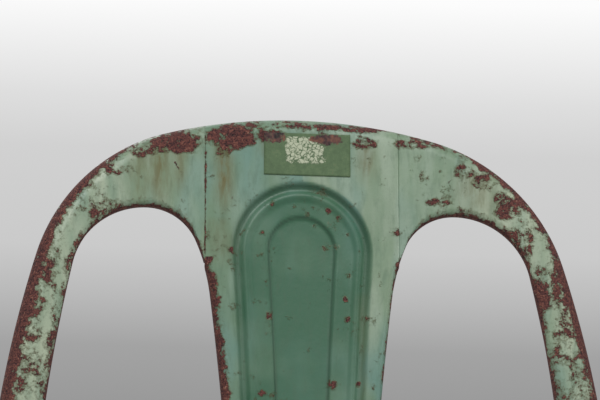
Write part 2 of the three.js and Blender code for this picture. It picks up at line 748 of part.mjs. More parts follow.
// A strap from the front leg at -X or +X to the opposite rear leg, with a tab bent down at each end.
function strap(side, lift) {
  const z = STRAP.height + lift;
  const end = (rear) => {
    const high = cornerPlace(rear, z);
    const tip = cornerPlace(rear, STRAP.height - STRAP.tab).face;
    const start = cornerPlace(rear, z - STRAP.bend).face;
    const centre = start.clone().addScaledVector(high.outward, -STRAP.bend);
    const bend = spread(4, (t) => {
      const a = (t * Math.PI) / 2;
      return centre.clone()
        .addScaledVector(high.outward, STRAP.bend * Math.cos(a))
        .addScaledVector(V(0, 0, 1), STRAP.bend * Math.sin(a));
    });
    return [tip, ...bend];
  };
  const flip = (k) => (p) => V(k * p.x, p.y, p.z);
  const line = [...end(false).map(flip(side)), ...end(true).reverse().map(flip(-side))];
  const across = V(line[0].y - line.at(-1).y, line.at(-1).x - line[0].x, 0).normalize();
  const rows = line.map((p) => [-0.5, 0.5].map((t) => p.clone().addScaledVector(across, t * STRAP.width)));
  const solid = moved(sheetSolid(rows, { thick: STRAP.thick }), settled);
  return cut(solid, [tabHole(false, side), tabHole(true, -side), hole(strapCrossing, V(0, 0, 1), 20)]);
}

// A round-headed rivet whose shank runs from its domed head at a point, inwards by its grip.
function rivet(at, outward, grip) {
  const { radius, head, dome, tail } = RIVET;
  const clear = GAP / 2;
  const profile = [
    [0, dome + clear],
    [head * 0.55, dome * 0.8 + clear],
    [head * 0.9, dome * 0.35 + clear],
    [head, clear],
    [radius, clear],
    [radius, -grip - clear],
    [head * 0.85, -grip - clear],
    [head * 0.7, -grip - tail],
    [0, -grip - tail],
  ];
  const points = profile.reverse().map(([r, h]) => new THREE.Vector2(r, h));
  const geometry = new THREE.LatheGeometry(points, 10);
  geometry.applyQuaternion(new THREE.Quaternion().setFromUnitVectors(V(0, 1, 0), outward));
  geometry.translate(at.x, at.y, at.z);
  return geometry;
}

// A rubber glide that plugs the foot of a leg at +X and stands proud of the sheet.
function glide(rear) {
  const away = rear ? 1 : -1;
  const inset = SHEET + 2 * GAP;
  const level = (z) => {
    const f = faces(z);
    const r = cornerRadius(z, rear) - inset;
    const [x, y] = [f.x - inset, (rear ? f.rear : f.front) - away * inset];
    const size = GLIDE.size - inset;
    const corner = spread(5, (t) => {
      const a = (t * Math.PI) / 2;
      return [x - r + r * Math.sin(a), y - away * (r - r * Math.cos(a))];
    }).reverse();
    const far = size - GLIDE.chamfer;
    const ends = [
      [far, 0],
      [size, GLIDE.chamfer],
      [size, far],
      [far, size],
      [GLIDE.chamfer, size],
      [0, far],
    ].map(([across, along]) => [x - across, y - away * along]);
    return [...corner, ...ends].map(([px, py]) => V(px, py, z));
  };
  const rings = [level(0), level(GLIDE.height)].map((ring) => (rear ? ring : ring.reverse()));
  const n = rings[0].length;
  const positions = rings.flat().flatMap((p) => [p.x, p.y, p.z]);
  const index = [];
  for (let j = 0; j < n; j++) {
    const k = (j + 1) % n;
    index.push(j, k, n + k, j, n + k, n + j);
    if (j > 0 && j < n - 1) index.push(0, j + 1, j, n, n + j, n + j + 1);
  }
  return facingOut(indexed(positions, index));
}

// ---- assembly ----------------------------------------------------------------------------------------

const chair = new THREE.Group();

function add(name, geometry, look = PAINT) {
  const mesh = new THREE.Mesh(geometry, new THREE.MeshStandardMaterial(look));
  mesh.name = name;
  chair.add(mesh);
  return mesh;
}

function addPair(name, make, look = PAINT) {
  add(`${name}_right`, make(), look);
  add(`${name}_left`, facingOut(mirrored(make())), look);
}

add("seat_pan", seatPan());
add("apron_front", frontApron());
add("apron_rear", rearApron());
addPair("apron", sideApron);
addPair("leg_front", () => leg(false));
addPair("leg_rear", () => leg(true));
add("hoop_tube", hoopTube());
add("back_splat", backSplat());
addPair("back_arm", backArm);
add("back_label", label(), PAPER);
addPair("glide_front", () => glide(false), RUBBER);
addPair("glide_rear", () => glide(true), RUBBER);
add("strap_lower", strap(1, 0));
add("strap_upper", strap(-1, STRAP.thick + GAP));
splatRivetPlaces().forEach((place, i) => {
  add(`splat_rivet_${i + 1}`, rivet(place, V(0, 0, 1), 2 * SHEET + GAP), STEEL);
});
const strapTop = strapCrossing.clone().add(V(0, 0, STRAP.thick + GAP));
add("strap_rivet_centre", rivet(strapTop, V(0, 0, 1), 2 * STRAP.thick + GAP), STEEL);
for (const [name, rear] of [["front", false], ["rear", true]]) {
  const { at, outward, grip } = tabRivet(rear);
  addPair(`strap_rivet_${name}`, () => rivet(at, outward, grip), STEEL);
}

export default chair;
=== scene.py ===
# %% [markdown]
# # An old stacking chair of pressed sheet steel
#
# The chair was stamped from thin steel sheet, welded, and painted green many years ago. The paint has
# chalked on the outside, and rust has come through wherever the sheet is bent, cut or welded.
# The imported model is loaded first. It fixes every size and place, so each piece below starts from it.

# %% Load the frame
import math

import bpy
from mathutils import Matrix, Vector


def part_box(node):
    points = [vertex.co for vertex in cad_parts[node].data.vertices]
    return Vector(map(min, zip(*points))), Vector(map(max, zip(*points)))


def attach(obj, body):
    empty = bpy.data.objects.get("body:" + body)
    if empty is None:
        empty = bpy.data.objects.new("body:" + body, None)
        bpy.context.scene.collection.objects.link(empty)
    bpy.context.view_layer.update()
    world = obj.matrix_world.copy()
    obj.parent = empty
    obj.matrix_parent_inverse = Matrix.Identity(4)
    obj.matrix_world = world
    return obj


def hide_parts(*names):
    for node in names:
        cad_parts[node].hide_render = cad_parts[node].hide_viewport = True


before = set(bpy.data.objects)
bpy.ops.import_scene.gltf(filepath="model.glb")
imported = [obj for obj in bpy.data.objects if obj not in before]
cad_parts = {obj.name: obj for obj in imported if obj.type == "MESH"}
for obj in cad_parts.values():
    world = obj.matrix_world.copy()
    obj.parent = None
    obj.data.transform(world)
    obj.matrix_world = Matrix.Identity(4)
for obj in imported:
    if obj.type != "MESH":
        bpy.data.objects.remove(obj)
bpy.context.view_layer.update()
print("nodes in the frame:", len(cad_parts))

# %% [markdown]
# Sheet metal is drawn in millimetres, so the whole script works in millimetres and turns them into
# Blender's metres only when a mesh is made. The frame gives the crest, the seat and the feet.

# %% Sizes read from the frame
MM = 0.001
DEG = math.radians(1)


def box_mm(node):
    low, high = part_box(node)
    return low / MM, high / MM


SEAT_LOW, SEAT_HIGH = box_mm("seat_pan")
FOOT_LOW = box_mm("leg_front_left")[0]
FOOT_HIGH = box_mm("leg_rear_right")[1]
CREST = round(box_mm("back_splat")[1].z, 1)
SHEET = 1.0  # sheet thickness
FALL = 0.03  # the seat slopes down to the rear by this much per millimetre
SEAT_ROLL = 8.0
SEAT_TOP = SEAT_HIGH.z + FALL * SEAT_ROLL  # height of the seat plane at its front edge
SEAT_FRONT = SEAT_LOW.y
REAR_BOW = 12.0
SEAT_REAR = SEAT_HIGH.y - REAR_BOW
SEAT_HALF = SEAT_HIGH.x
print(f"crest {CREST:.1f} mm, seat {SEAT_TOP:.1f} mm high and {2 * SEAT_HALF:.0f} mm wide")

# %% [markdown]
# ## Small tools
#
# Colours are picked as sRGB hex values and turned into the linear values that Blender mixes.
# Every shader node is added by one function, which sets its options and joins its inputs.

# %% Colour and node helpers


def linear(hex_colour):
    """An sRGB colour such as 0x6f9480 as linear red, green, blue and alpha."""
    channels = [(hex_colour >> shift & 255) / 255 for shift in (16, 8, 0)]
    return [c / 12.92 if c <= 0.04045 else ((c + 0.055) / 1.055) ** 2.4 for c in channels] + [1.0]


def add_node(tree, kind, inputs=None, **options):
    """Adds a node, sets its options, and sets or joins its inputs. A node given as a value gives its
    first output."""
    made = tree.nodes.new(kind)
    for option, value in options.items():
        setattr(made, option, value)
    for socket, value in (inputs or {}).items():
        if isinstance(value, bpy.types.Node):
            value = value.outputs[0]
        if isinstance(value, bpy.types.NodeSocket):
            tree.links.new(value, made.inputs[socket])
        else:
            made.inputs[socket].default_value = value
    return made


def set_stops(ramp_node, stops):
    """Gives a colour ramp its stops, each a position and an sRGB hex colour."""
    elements = ramp_node.color_ramp.elements
    while len(elements) < len(stops):
        elements.new(0.5)
    for element, (position, hex_colour) in zip(elements, stops):
        element.position = position
        element.color = linear(hex_colour)


# %% [markdown]
# An outline on this chair is a chain of arcs, as a press tool's maker would draw it. A chain is walked
# in small steps into a line of points, which can then be read by its length or by where it crosses a
# given place.

# %% Lines and curves


def lerp(a, b, t):
    return a + (b - a) * t


def smooth(a, b, value):
    t = min(1.0, max(0.0, (value - a) / (b - a)))
    return t * t * (3 - 2 * t)


def steps(count):
    """The shares 0 to 1 in so many points."""
    return [i / (count - 1) for i in range(count)]


def arc_chain(x, z, side, arcs, degrees=1.5):
    """Points along arcs [radius, turn] that start level at x, z and turn downwards, towards side."""
    points, heading = [(x, z)], 0.0
    for radius, turn in arcs:
        count = max(1, math.ceil(turn / degrees), math.ceil(radius * turn * DEG / 6))
        half = turn * DEG / count / 2
        for _ in range(count):
            heading += half
            x += side * 2 * radius * math.sin(half) * math.cos(heading)
            z -= 2 * radius * math.sin(half) * math.sin(heading)
            heading += half
            points.append((x, z))
    return points


class Line:
    """A line of points in the plane, read by length."""

    def __init__(self, points):
        self.points = points
        self.lengths = [0.0]
        for a, b in zip(points, points[1:]):
            self.lengths.append(self.lengths[-1] + math.dist(a, b))
        self.length = self.lengths[-1]

    def at(self, length):
        low, high = 0, len(self.points) - 1
        while high - low > 1:
            middle = (low + high) // 2
            low, high = (middle, high) if self.lengths[middle] <= length else (low, middle)
        t = (length - self.lengths[low]) / (self.lengths[high] - self.lengths[low])
        return tuple(lerp(a, b, t) for a, b in zip(self.points[low], self.points[high]))

    def where(self, axis, value):
        for i, (a, b) in enumerate(zip(self.points, self.points[1:])):
            if (a[axis] - value) * (b[axis] - value) <= 0 and a[axis] != b[axis]:
                t = (value - a[axis]) / (b[axis] - a[axis])
                return lerp(self.lengths[i], self.lengths[i + 1], t)
        return self.length


# %% [markdown]
# Each pressing is one sheet of the same thickness. So it is drawn as a grid of points on its outer
# face, and a Solidify modifier gives it its thickness, inwards. Four numbers are stored at each
# point for the paint: how worn it is, how chalky, how stained by rust water, and how much painted
# shade, with some grime, darkens it.

# %% The sheet maker
# The last mark is painted shade in the grooves, with some grime.
MARKS = ("wear", "chalk", "stain", "shade_and_grime")


def sheet(name, rows, marks, thickness=SHEET, ring=False, holes=(), hole_radius=0.0):
    """A piece of sheet steel from rows of points on its outer face, in millimetres, and their marks.
    Holes are upright, at (x, y) places: the points near one move onto its edge, and the faces inside go."""
    count = len(rows[0])
    points = [p for row in rows for p in row]
    inside = set()
    for x, y in holes:
        for i, p in enumerate(points):
            away = Vector((p.x - x, p.y - y, 0))
            if away.length < hole_radius * 1.45:
                inside.add(i)
                if away.length > hole_radius * 0.55:
                    points[i] = p + away * (hole_radius / away.length - 1)
    faces = []
    for i in range(len(rows) - 1):
        for j in range(count if ring else count - 1):
            k = (j + 1) % count
            face = (i * count + j, (i + 1) * count + j, (i + 1) * count + k, i * count + k)
            if not inside.issuperset(face):
                faces.append(face)
    mesh = bpy.data.meshes.new(name)
    mesh.from_pydata([p * MM for p in points], [], faces)
    mesh.shade_smooth()
    flat_marks = [m for row in marks for m in row]
    for k, kind in enumerate(MARKS):
        layer = mesh.attributes.new(kind, "FLOAT", "POINT")
        layer.data.foreach_set("value", [m[k] for m in flat_marks])
    piece = bpy.data.objects.new(name, mesh)
    bpy.context.collection.objects.link(piece)
    solid = piece.modifiers.new("thickness", "SOLIDIFY")
    solid.thickness = thickness * MM
    solid.offset = -1
    solid.use_even_offset = True
    return piece


def mirror_rows(rows):
    """The same sheet on the chair's other side, still facing out."""
    return [[Vector((-p.x, p.y, p.z)) for p in reversed(row)] for row in rows]


def mirror_marks(marks):
    return [list(reversed(row)) for row in marks]


def stand_for(piece, material, *nodes):
    """Paints a piece, fixes it to the chair, and lets it stand for its CAD nodes."""
    piece.data.materials.append(material)
    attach(piece, "root")
    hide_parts(*nodes)
    print(f"{piece.name}: {len(piece.data.vertices)} points for {', '.join(nodes)}")


# %% [markdown]
# ## Camera and light
#
# The camera stands in front of the upper back, a little to the chair's left and a little below it,
# with a long lens, so the crest fills the frame. Its place is given from the point where the
# openings begin, on the middle line of the back.

# %% Place the camera
BACK_LEAN = 13 * DEG
OPENING_DROP = 52.4  # the openings begin this far below the crest
AIM_BEHIND = math.tan(BACK_LEAN)
BACK_FOOT_Y = 131.4  # where the middle of the back meets the seat
BACK_FOOT_Z = SEAT_TOP - FALL * (BACK_FOOT_Y - SEAT_FRONT)
AIM = Vector((0, BACK_FOOT_Y + AIM_BEHIND * (CREST - OPENING_DROP - BACK_FOOT_Z), CREST - OPENING_DROP))
CAMERA_DISTANCE = 1500
CAMERA_OFFSET = Vector((-1.1, -CAMERA_DISTANCE, 6.4))
CAMERA_YAW, CAMERA_PITCH, CAMERA_ROLL = 7.07 * DEG, -2.85 * DEG, -1.53 * DEG

camera = bpy.data.objects.new("camera", bpy.data.cameras.new("camera"))
bpy.context.collection.objects.link(camera)
camera.data.sensor_width = 36
camera.data.lens = 160.7
turned = (
    Matrix.Rotation(-CAMERA_ROLL, 4, "Y")
    @ Matrix.Rotation(CAMERA_PITCH, 4, "X")
    @ Matrix.Rotation(CAMERA_YAW, 4, "Z")
)
camera.matrix_world = (
    Matrix.Translation(AIM * MM)
    @ turned.inverted()
    @ Matrix.Translation(CAMERA_OFFSET * MM)
    @ Matrix.Rotation(90 * DEG, 4, "X")
)
camera.data.clip_end = 100
bpy.context.scene.camera = camera
print("camera at", [round(v, 3) for v in camera.matrix_world.translation])

# %% [markdown]
# The background is a plain grey sweep that gets lighter upwards, so it is a gradient in the world,
# by direction. The floor is a plain pale disc, small enough to stay below the view of the crest.

# %% Backdrop and floor
SWEEP = [(0.0, 0x98), (0.15, 0xA3), (0.27, 0xBA), (0.38, 0xCA), (0.61, 0xD1), (0.73, 0xDE), (0.96, 0xFC)]

ROOM_LIGHT = 0.42  # the room lights the chair less than the backdrop is bright
world = bpy.data.worlds.new("grey sweep")
world.use_nodes = True
world.node_tree.nodes.clear()
sky = world.node_tree
direction = add_node(sky, "ShaderNodeTexCoord")
height = add_node(sky, "ShaderNodeSeparateXYZ", {0: direction.outputs["Generated"]})
horizon = {"Value": height.outputs["Z"], "From Min": -0.03, "From Max": 0.13}
share = add_node(sky, "ShaderNodeMapRange", horizon)
greys = add_node(sky, "ShaderNodeValToRGB", {"Fac": share})
set_stops(greys, [(position, grey * 0x10101) for position, grey in SWEEP])
seen = add_node(sky, "ShaderNodeLightPath").outputs["Is Camera Ray"]
strength = add_node(sky, "ShaderNodeMapRange", {"Value": seen, "To Min": ROOM_LIGHT, "To Max": 1.0})
glow = add_node(sky, "ShaderNodeBackground", {"Color": greys, "Strength": strength})
add_node(sky, "ShaderNodeOutputWorld", {"Surface": glow})
bpy.context.scene.world = world
bpy.context.scene.view_settings.view_transform = "Standard"

FLOOR_RADIUS = 10
bpy.ops.mesh.primitive_circle_add(vertices=96, radius=FLOOR_RADIUS, fill_type="NGON")
floor = bpy.context.object
floor.name = "floor"
plaster = bpy.data.materials.new("pale_floor")
plaster.use_nodes = True
shader = plaster.node_tree.nodes["Principled BSDF"]
shader.inputs["Base Color"].default_value = linear(0xC9C9C7)
shader.inputs["Roughness"].default_value = 0.9
floor.data.materials.append(plaster)

# %% [markdown]
# Old paint shows its dents only under soft light that comes mostly from above. One wide softbox hangs
# over the front, and two weaker ones fill the side and the back.

# %% Softboxes
SOFTBOXES = {
    "key_softbox": ((-0.3, -1.5, 2.9), 1.1, 34),
    "side_softbox": ((2.4, -1.6, 1.5), 1.4, 9),
    "rear_softbox": ((-0.8, 2.8, 2.4), 1.6, 26),
}
for name, (place, width, power) in SOFTBOXES.items():
    lamp = bpy.data.lights.new(name, "AREA")
    lamp.size = width
    lamp.energy = power
    softbox = bpy.data.objects.new(name, lamp)
    softbox.location = place
    softbox.rotation_euler = (AIM * MM - softbox.location).to_track_quat("-Z", "Y").to_euler()
    bpy.context.collection.objects.link(softbox)
print("softboxes:", ", ".join(SOFTBOXES))

# %% [markdown]
# ## Old green paint on steel
#
# Oil paint on sheet steel starts glossy and deep, then chalks: the binder goes, and pale pigment is
# left. Where it is bent over an edge it cracks, water gets under it, and it lifts off in flakes with
# sharp broken borders, over rough brown rust. So the finish has layers: paint, painted shade with some
# grime, and stains on the paint, and rust where a mask of wear and noise is high. Sizes are millimetres on
# the sheet.

# %% The painted steel finish
RUST_TONES = [
    (0.0, 0x1D1517), (0.25, 0x44292B), (0.5, 0x6B3E39), (0.72, 0x845046), (0.88, 0x9C6B57), (1.0, 0xB5967F),
]


def painted_steel(name, fresh, chalky, pale, worn=0.0, aged=0.0, roughness=0.40):
    """Paint over rusting sheet steel. fresh, chalky and pale are the paint's colours as it ages. worn and
    aged are added to the marks stored on the sheet, for pieces that have none."""
    material = bpy.data.materials.new(name)
    material.use_nodes = True
    tree = material.node_tree
    tree.nodes.clear()

    def add(kind, inputs=None, **options):
        return add_node(tree, kind, inputs, **options)

    def blend(share, a, b):
        return add("ShaderNodeMix", {0: share, 6: a, 7: b}, data_type="RGBA").outputs[2]

    def scale_to(value, low, high, to_low=0.0, to_high=1.0):
        limits = {"Value": value, "From Min": low, "From Max": high, "To Min": to_low, "To Max": to_high}
        return add("ShaderNodeMapRange", limits)

    def maths(operation, a, b):
        return add("ShaderNodeMath", {0: a, 1: b}, operation=operation)

    object_place = add("ShaderNodeTexCoord").outputs["Object"]
    place = add("ShaderNodeVectorMath", {0: object_place, "Scale": 1 / MM}, operation="SCALE")

    def grain(size, detail=4.0, rough=0.6, stretch=(1, 1, 1)):
        """Noise whose features are about so many millimetres across."""
        where = add("ShaderNodeVectorMath", {0: place, 1: stretch}, operation="MULTIPLY")
        settings = {"Vector": where, "Scale": 1 / size, "Detail": detail, "Roughness": rough}
        return add("ShaderNodeTexNoise", settings)

    stored = [add("ShaderNodeAttribute", attribute_name=kind).outputs["Fac"] for kind in MARKS]
    wear = maths("ADD", stored[0], worn)
    chalk = maths("ADD", stored[1], aged)
    stain, shade_and_grime = stored[2:]
    blotch = grain(20, 3)
    flake = grain(7.0, 8, 0.72)
    chip = grain(2.2, 5, 0.7)
    crumb = grain(0.9, 3)
    speck = grain(1.7, 3, 0.65)
    # Fine cracks run between cells about 13 mm across, and rust creeps along them where paint is worn.
    warp = add("ShaderNodeVectorMath", {0: grain(6, 5).outputs["Color"], "Scale": 10.0}, operation="SCALE")
    crooked = add("ShaderNodeVectorMath", {0: place, 1: warp}, operation="ADD")
    cracks = add("ShaderNodeTexVoronoi", {"Vector": crooked, "Scale": 1 / 13}, feature="DISTANCE_TO_EDGE")
    vein = scale_to(cracks.outputs["Distance"], 0.10, 0.0)
    # Rust shows where wear and the flaking noise together pass a threshold, with a sharp border.
    coarse = maths("ADD", maths("MULTIPLY", blotch, 0.8), maths("MULTIPLY", flake, 2.2))
    ragged = maths("ADD", coarse, maths("MULTIPLY", chip, 0.8))
    creep = maths("MULTIPLY", vein, scale_to(wear, 0.20, 0.40, 0.0, 0.16))
    exposure = maths("ADD", maths("ADD", wear, creep), maths("SUBTRACT", ragged, 1.9))
    rust = scale_to(exposure, 0.50, 0.535)
    halo = scale_to(exposure, 0.30, 0.52)
    # Small chips down to dark steel, in a few cells of a random pattern.
    cells = add("ShaderNodeTexVoronoi", {"Vector": crooked, "Scale": 1 / 11})
    lucky = scale_to(add("ShaderNodeSeparateColor", {0: cells.outputs["Color"]}).outputs[0], 0.95, 0.97)
    close = scale_to(maths("ADD", cells.outputs["Distance"], maths("MULTIPLY", chip, 0.5)), 0.36, 0.31)
    hair = scale_to(cracks.outputs["Distance"], 0.022, 0.008)
    hairline = maths("MULTIPLY", hair, scale_to(blotch, 0.66, 0.72))
    chips = maths("MAXIMUM", maths("MULTIPLY", lucky, close), hairline)
    scars = maths("MULTIPLY", chips, scale_to(chalk, 0.15, 0.5))
    bare = maths("MAXIMUM", rust, scars)

    # Paint: deep green under pale chalk, with brushed-down streaks, painted shade with some grime, and
    # rust-water stains.
    streak = grain(3.0, 4, 0.6, (1, 1, 0.08))
    band = grain(11, 2, 0.5, (1, 1, 0.12))
    cloud = grain(38, 2)
    chalk_share = maths("ADD", chalk, scale_to(cloud, 0.35, 0.65, -0.16, 0.16))
    paint = blend(chalk_share, linear(fresh), linear(chalky))
    faded = maths("MULTIPLY", scale_to(band, 0.42, 0.66, 0.0, 0.55), chalk_share)
    paint = blend(faded, paint, linear(0x8FAA9C))
    cool = grain(20, 2, 0.5, (1, 1, 0.3))
    cooler = maths("MULTIPLY", scale_to(cool, 0.48, 0.66, 0.0, 0.6), scale_to(chalk, 0.0, 0.5, 0.2, 1.0))
    paint = blend(cooler, paint, linear(0x6B968E))
    bleached = maths("MULTIPLY", scale_to(chalk, 0.70, 1.12), scale_to(band, 0.34, 0.64, 0.3, 1.0))
    paint = blend(bleached, paint, linear(pale))
    flaky = maths("MULTIPLY", scale_to(flake, 0.50, 0.64, 0.0, 0.8), scale_to(wear, 0.12, 0.4))
    paint = blend(flaky, paint, linear(pale))
    paint = blend(maths("MULTIPLY", scale_to(streak, 0.50, 0.72), 0.34), paint, linear(0x4E6B55))
    dirt = maths("MULTIPLY", scale_to(speck, 0.52, 0.68, 0.0, 0.55), scale_to(wear, 0.05, 0.4, 0.1, 1.0))
    paint = blend(dirt, paint, linear(0x565C42))
    # Painted shade, with some grime, darkens the pressed grooves.
    paint = blend(shade_and_grime, paint, linear(0x2F4335))
    stained = maths("MULTIPLY", stain, scale_to(streak, 0.36, 0.56, 0.45, 1.0))
    paint = blend(stained, paint, linear(0x6D6638))
    paint = blend(maths("MULTIPLY", halo, 0.75), paint, linear(0x6A6543))
    tone = maths("ADD", maths("MULTIPLY", chip, 0.7), maths("MULTIPLY", crumb, 1.0))
    rusty = add("ShaderNodeValToRGB", {"Fac": scale_to(tone, 0.60, 1.13)})
    set_stops(rusty, RUST_TONES)
    colour = blend(bare, paint, rusty.outputs[0])

    satin = scale_to(crumb, 0.3, 0.7, roughness - 0.05, roughness + 0.1)
    dull = add("ShaderNodeMix", {0: bare, 2: satin, 3: 0.88}, data_type="FLOAT")
    # Paint stands over the steel and lifts beside the rust, which is rougher than the paint.
    film = maths("SUBTRACT", maths("ADD", 1.0, maths("MULTIPLY", halo, 0.5)), maths("MULTIPLY", bare, 1.2))
    pitting = maths("ADD", maths("MULTIPLY", crumb, 1.6), maths("MULTIPLY", chip, 2.4))
    pits = maths("MULTIPLY", pitting, bare)
    skin = maths("MULTIPLY", maths("ADD", grain(2.4, 2), maths("MULTIPLY", blotch, 3.0)), 0.14)
    relief = maths("ADD", film, maths("ADD", pits, skin))
    bumped = add("ShaderNodeBump", {"Height": relief, "Strength": 1.0, "Distance": 0.5 * MM})
    surface = add("ShaderNodeBsdfPrincipled", {"Base Color": colour, "Roughness": dull, "Normal": bumped})
    surface.inputs["IOR"].default_value = 1.5
    add("ShaderNodeOutputMaterial", {"Surface": surface})
    print("finish:", name)
    return material


GREENS = (0x416E54, 0x7C987C, 0xB4C0A6)  # the paint when fresh, chalked and bleached
green_paint = painted_steel("old_green_paint_on_steel", *GREENS)
strap_paint = painted_steel("worn_green_paint_on_straps", *GREENS, worn=0.3, aged=0.5)
rivet_steel = painted_steel("rusted_rivet_steel", *GREENS, worn=0.52, aged=0.5)

# %% [markdown]
# ## The shape of the back
#
# The back leans 13 degrees and is hollow towards the sitter, so its sides stand in front of its
# middle. Its face is therefore one formula, and the outlines are drawn on it as seen from the front.

# %% The face and outlines of the back
SAG, SAG_AT = 17.6, 165.0
ROLL = 9.5  # outer radius of the rolled edge
LIP = 150 * DEG  # how far the sheet wraps round the tube
SEAM = 54.5  # half-width of the splat at the crest
OPENING_X = 86.7
CREST_BEND, ARM_BEND, FLANGE = 4.0, 8.0, 2.5
OUTER_ARCS = [(289, 15.3), (102.5, 58.5), (617, 16.2)]
OPENING_OUTER_ARCS = [(42, 77.8), (900, 12.2)]
OPENING_INNER_ARCS = [(30.2, 65.7), (103, 16.8), (2000, 7.5)]
OPENING_TOP = CREST - OPENING_DROP
LANDING = BACK_FOOT_Z + 1


def on_back(x, z):
    y = BACK_FOOT_Y + math.tan(BACK_LEAN) * (z - BACK_FOOT_Z) - SAG * (x / SAG_AT) ** 2
    return Vector((x, y, z))


def facing(x):
    """The way the back's face looks at a half-width."""
    return Vector((-2 * SAG * x / SAG_AT**2, -1, math.tan(BACK_LEAN))).normalized()


def to_seat(points):
    return points + [(points[-1][0], BACK_FOOT_Z - 40)]


outer_line = Line(to_seat(arc_chain(0, CREST, 1, OUTER_ARCS)))
opening_outer = to_seat(arc_chain(OPENING_X, OPENING_TOP, 1, OPENING_OUTER_ARCS))
opening_inner = to_seat(arc_chain(OPENING_X, OPENING_TOP, -1, OPENING_INNER_ARCS))
print(f"outline {outer_line.length:.0f} mm long on each side")


def roll_frame(length):
    """The rolled edge beside the outline: the way out, the face's normal, and the roll's axis."""
    x, z = outer_line.at(length)
    a, b = outer_line.at(length - 1), outer_line.at(length + 1)
    run = math.dist(a, b)
    side = (-(b[1] - a[1]) / run, (b[0] - a[0]) / run)
    ahead = on_back(x + side[0] * 0.1, z + side[1] * 0.1)
    out = (ahead - on_back(x, z)).normalized()
    normal = facing(x)
    front = on_back(x - ROLL * (side[0] - normal.x), z - ROLL * (side[1] - normal.z))
    return out, normal, front, front - normal * ROLL


def roll_section(out, normal, axis, count):
    """The rolled edge from its lip behind the tube to the front face."""
    angles = [LIP * (1 - t) for t in steps(count)]
    return [axis + out * (ROLL * math.sin(a)) + normal * (ROLL * math.cos(a)) for a in angles]


# %% [markdown]
# ## Where the paint has gone
#
# Rust follows use and water. It eats the rolled outer edge and the openings' rims first, then the
# shoulders, and it spots the face. The places below are in millimetres: right of the middle, and
# below the crest.

# %% The wear of the back
RUST_PATCHES = [  # right, below, half-width, half-height, strength
    (-41, 11.5, 14, 7.0, 0.74), (-44, 19, 5, 5, 0.5), (-72, 16, 15, 6.5, 0.66), (-90, 20, 9, 5.5, 0.48),
    (-18, 10, 9, 4.2, 0.62), (14, 11, 9.5, 3.6, 0.66), (36, 12.5, 7.5, 3.6, 0.66), (22, 4.0, 40, 2.0, 0.62),
    (-20, 4, 12, 2.2, 0.46), (63, 12, 14, 2.6, 0.46), (92, 27, 7, 4, 0.46), (102, 33, 7, 5, 0.5),
    (114, 46, 7, 9, 0.54), (123, 66, 7, 12, 0.56), (131, 92, 7, 14, 0.46), (65, 20, 3, 2.2, 0.5),
    (69, 32, 3, 5, 0.36), (78, 45, 8, 2.2, 0.4), (52, 62, 3.5, 3, 0.38), (-106, 33, 9, 3, 0.44),
    (-112, 62, 8, 12, 0.46), (-124, 92, 9, 16, 0.46), (-133, 128, 9, 20, 0.5), (144, 120, 6, 14, 0.42),
    (128, 136, 5, 9, 0.5),
]
SPECKS = [  # right, below, radius
    (-18.5, 111, 1.9), (-19.6, 121, 1.1), (25.2, 112, 1.9), (17.4, 149, 2.0), (39.5, 149, 1.5),
    (-21.8, 154, 1.7), (17.4, 59.5, 2.4), (15.1, 52, 1.7), (3.4, 54.3, 1.5), (7.8, 60.5, 1.3),
    (14.6, 72.5, 2.2), (19.6, 71.7, 1.5), (26.3, 64.8, 1.2), (20, 56, 2.6), (24.5, 101, 1.3),
    (31, 148, 1.6), (26, 88, 1.4), (-40, 75, 1.4),
]
STAINS = [  # right, top, bottom, half-width, strength
    (-44, 16, 62, 4.5, 0.95), (-80, 20, 58, 5, 0.8), (-69, 18, 52, 4, 0.6), (37, 14, 40, 5, 0.6),
    (-92, 24, 58, 6, 0.5), (13, 12, 24, 4, 0.4), (-46, 60, 90, 8, 0.35), (98, 30, 60, 12, 0.45),
    (-20, 12, 26, 5, 0.3), (34, 100, 190, 3, 0.2),
]


def patch_wear(right, below):
    """Rust patches and specks on the face, strongest at their middles."""
    most = 0.0
    for x, z, half_x, half_z, strength in RUST_PATCHES:
        away = math.hypot((right - x) / half_x, (below - z) / half_z)
        most = max(most, strength * smooth(1.45, 0.6, away))
    for x, z, radius in SPECKS:
        away = math.hypot(right - x, below - z) / radius
        most = max(most, 0.50 * smooth(2.0, 0.5, away))
    return most


def water_stain(right, below):
    total = 0.0
    for x, top, bottom, half, strength in STAINS:
        across = math.exp(-(((right - x) / half) ** 2))
        begun, fading = smooth(top - 4, top, below), smooth(bottom, lerp(top, bottom, 0.4), below)
        total += strength * across * begun * fading
    return min(1.0, total)


# %% [markdown]
# ## The splat
#
# The middle strip of the back was pressed in one hit: two nested arches stiffen it, and its side
# edges are turned back where it stands alone between the openings. It is drawn as one grid, from the
# lip behind the crest, over the roll, down the face and out into the foot that lies on the seat. The
# arches are a depth read from the distance to each arch's line, so their slopes stay the same width
# all round, as a press tool makes them.

# %% The pressed arches
OUTER_ARCH = {"drop": 38.4, "radius": 37.0, "taper": 3.8 * DEG}
INNER_ARCH = {"drop": 55.4, "radius": 19.0, "taper": 3.5 * DEG}
GROOVE, RIDGE, RING, PANEL = -2.6, -0.3, -1.6, -3.2  # depths of the press tool's levels
ARCH_FADE = (25, 60)  # the arches fade out between these heights above the seat


def inside_arch(x, z, drop, radius, taper):
    """How far a place lies inside an arch. The sides close in downwards, less and less."""
    centre = CREST - drop - radius
    if z > centre:
        return radius - math.hypot(x, z - centre)
    run = centre - BACK_FOOT_Z - 40
    down = min(centre - z, run)
    return radius - math.tan(taper) * (down - down * down / (2 * run)) - abs(x)


